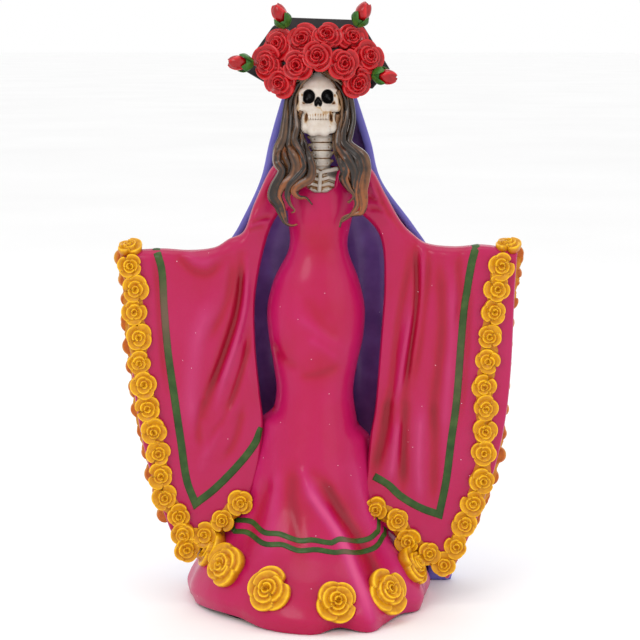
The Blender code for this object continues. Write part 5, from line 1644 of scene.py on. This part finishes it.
def make_floor():
    """A pale floor at the height of the flounce's lowest point, for the shadow."""
    (_, _, height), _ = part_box("skirt_flounce")
    mesh = bpy.data.meshes.new("studio_floor")
    corners = [(x * FLOOR_HALF, y * FLOOR_HALF, height) for x, y in ((-1, -1), (1, -1), (1, 1), (-1, 1))]
    mesh.from_pydata(corners, [], [(0, 1, 2, 3)])
    floor = bpy.data.objects.new("studio_floor", mesh)
    bpy.context.scene.collection.objects.link(floor)
    pale = shades((250, 250, 250), (252, 252, 252), (254, 254, 254))
    mesh.materials.append(plain_paint("pale_floor", pale, 0.5, (0.9, 1.0), 0.0, 0.0))


def make_studio():
    """A white surround, the floor and the lamps."""
    scene = bpy.context.scene
    scene.view_settings.view_transform = "Standard"
    world = bpy.data.worlds.new("studio")
    scene.world = world
    world.use_nodes = True
    background = world.node_tree.nodes["Background"]
    background.inputs["Color"].default_value = (1, 1, 1, 1)
    background.inputs["Strength"].default_value = 1.0
    make_floor()
    for lamp in LAMPS:
        make_lamp(*lamp)


def make_camera():
    camera = bpy.data.cameras.new("photo_view")
    camera.lens = CAMERA_LENS
    camera.sensor_width = CAMERA_SENSOR
    camera_object = bpy.data.objects.new("photo_view", camera)
    bpy.context.scene.collection.objects.link(camera_object)
    camera_object.location = (np.array(CAMERA_AT) + CENTRING) * MM
    camera_object.rotation_euler = (math.radians(90 - CAMERA_TILT), 0, 0)
    bpy.context.scene.camera = camera_object


def build_figure():
    dress_paint = fabric_paint("dress_magenta_paint", DRESS_STOPS)
    sleeve_paint = fabric_paint("sleeve_magenta_paint", SLEEVE_STOPS)
    yellow = petal_paint("marigold_petal_paint", YELLOW_STOPS, (0.36, 0.5), 0.15)
    red = petal_paint("red_petal_paint", RED_STOPS, (0.18, 0.30), 0.45)
    green = ribbon_paint("ribbon_green_paint")
    leaf_shades = shades((38, 84, 24), (52, 102, 34), (72, 116, 46))
    leaf = plain_paint("leaf_green_paint", leaf_shades, 0.003, (0.3, 0.45))
    hat_shades = shades((20, 14, 16), (27, 20, 22), (36, 29, 31))
    black = plain_paint("hat_charcoal_paint", hat_shades, 0.006, (0.4, 0.55))
    bone = bone_paint()
    dress, flounce = make_dress(dress_paint)
    make_skirt_ribbons(dress, flounce, green)
    make_hem_roses(flounce, dress, yellow)
    for side in (LEFT, RIGHT):
        sleeve = make_sleeve(side, sleeve_paint)
        make_sleeve_stripe(side, sleeve, green)
        make_front_garland(side, sleeve, yellow)
        make_rear_garland(side, sleeve, yellow)
    make_cape(cape_paint())
    make_skull(bone)
    make_jaw(bone)
    make_vertebrae(bone)
    make_ribcage(bone)
    make_hair(hair_paint())
    make_brim(black)
    make_crown(black)
    make_red_roses(red)
    make_buds(red, leaf)
    finish_hidden_solids()


make_studio()
make_camera()
build_figure()
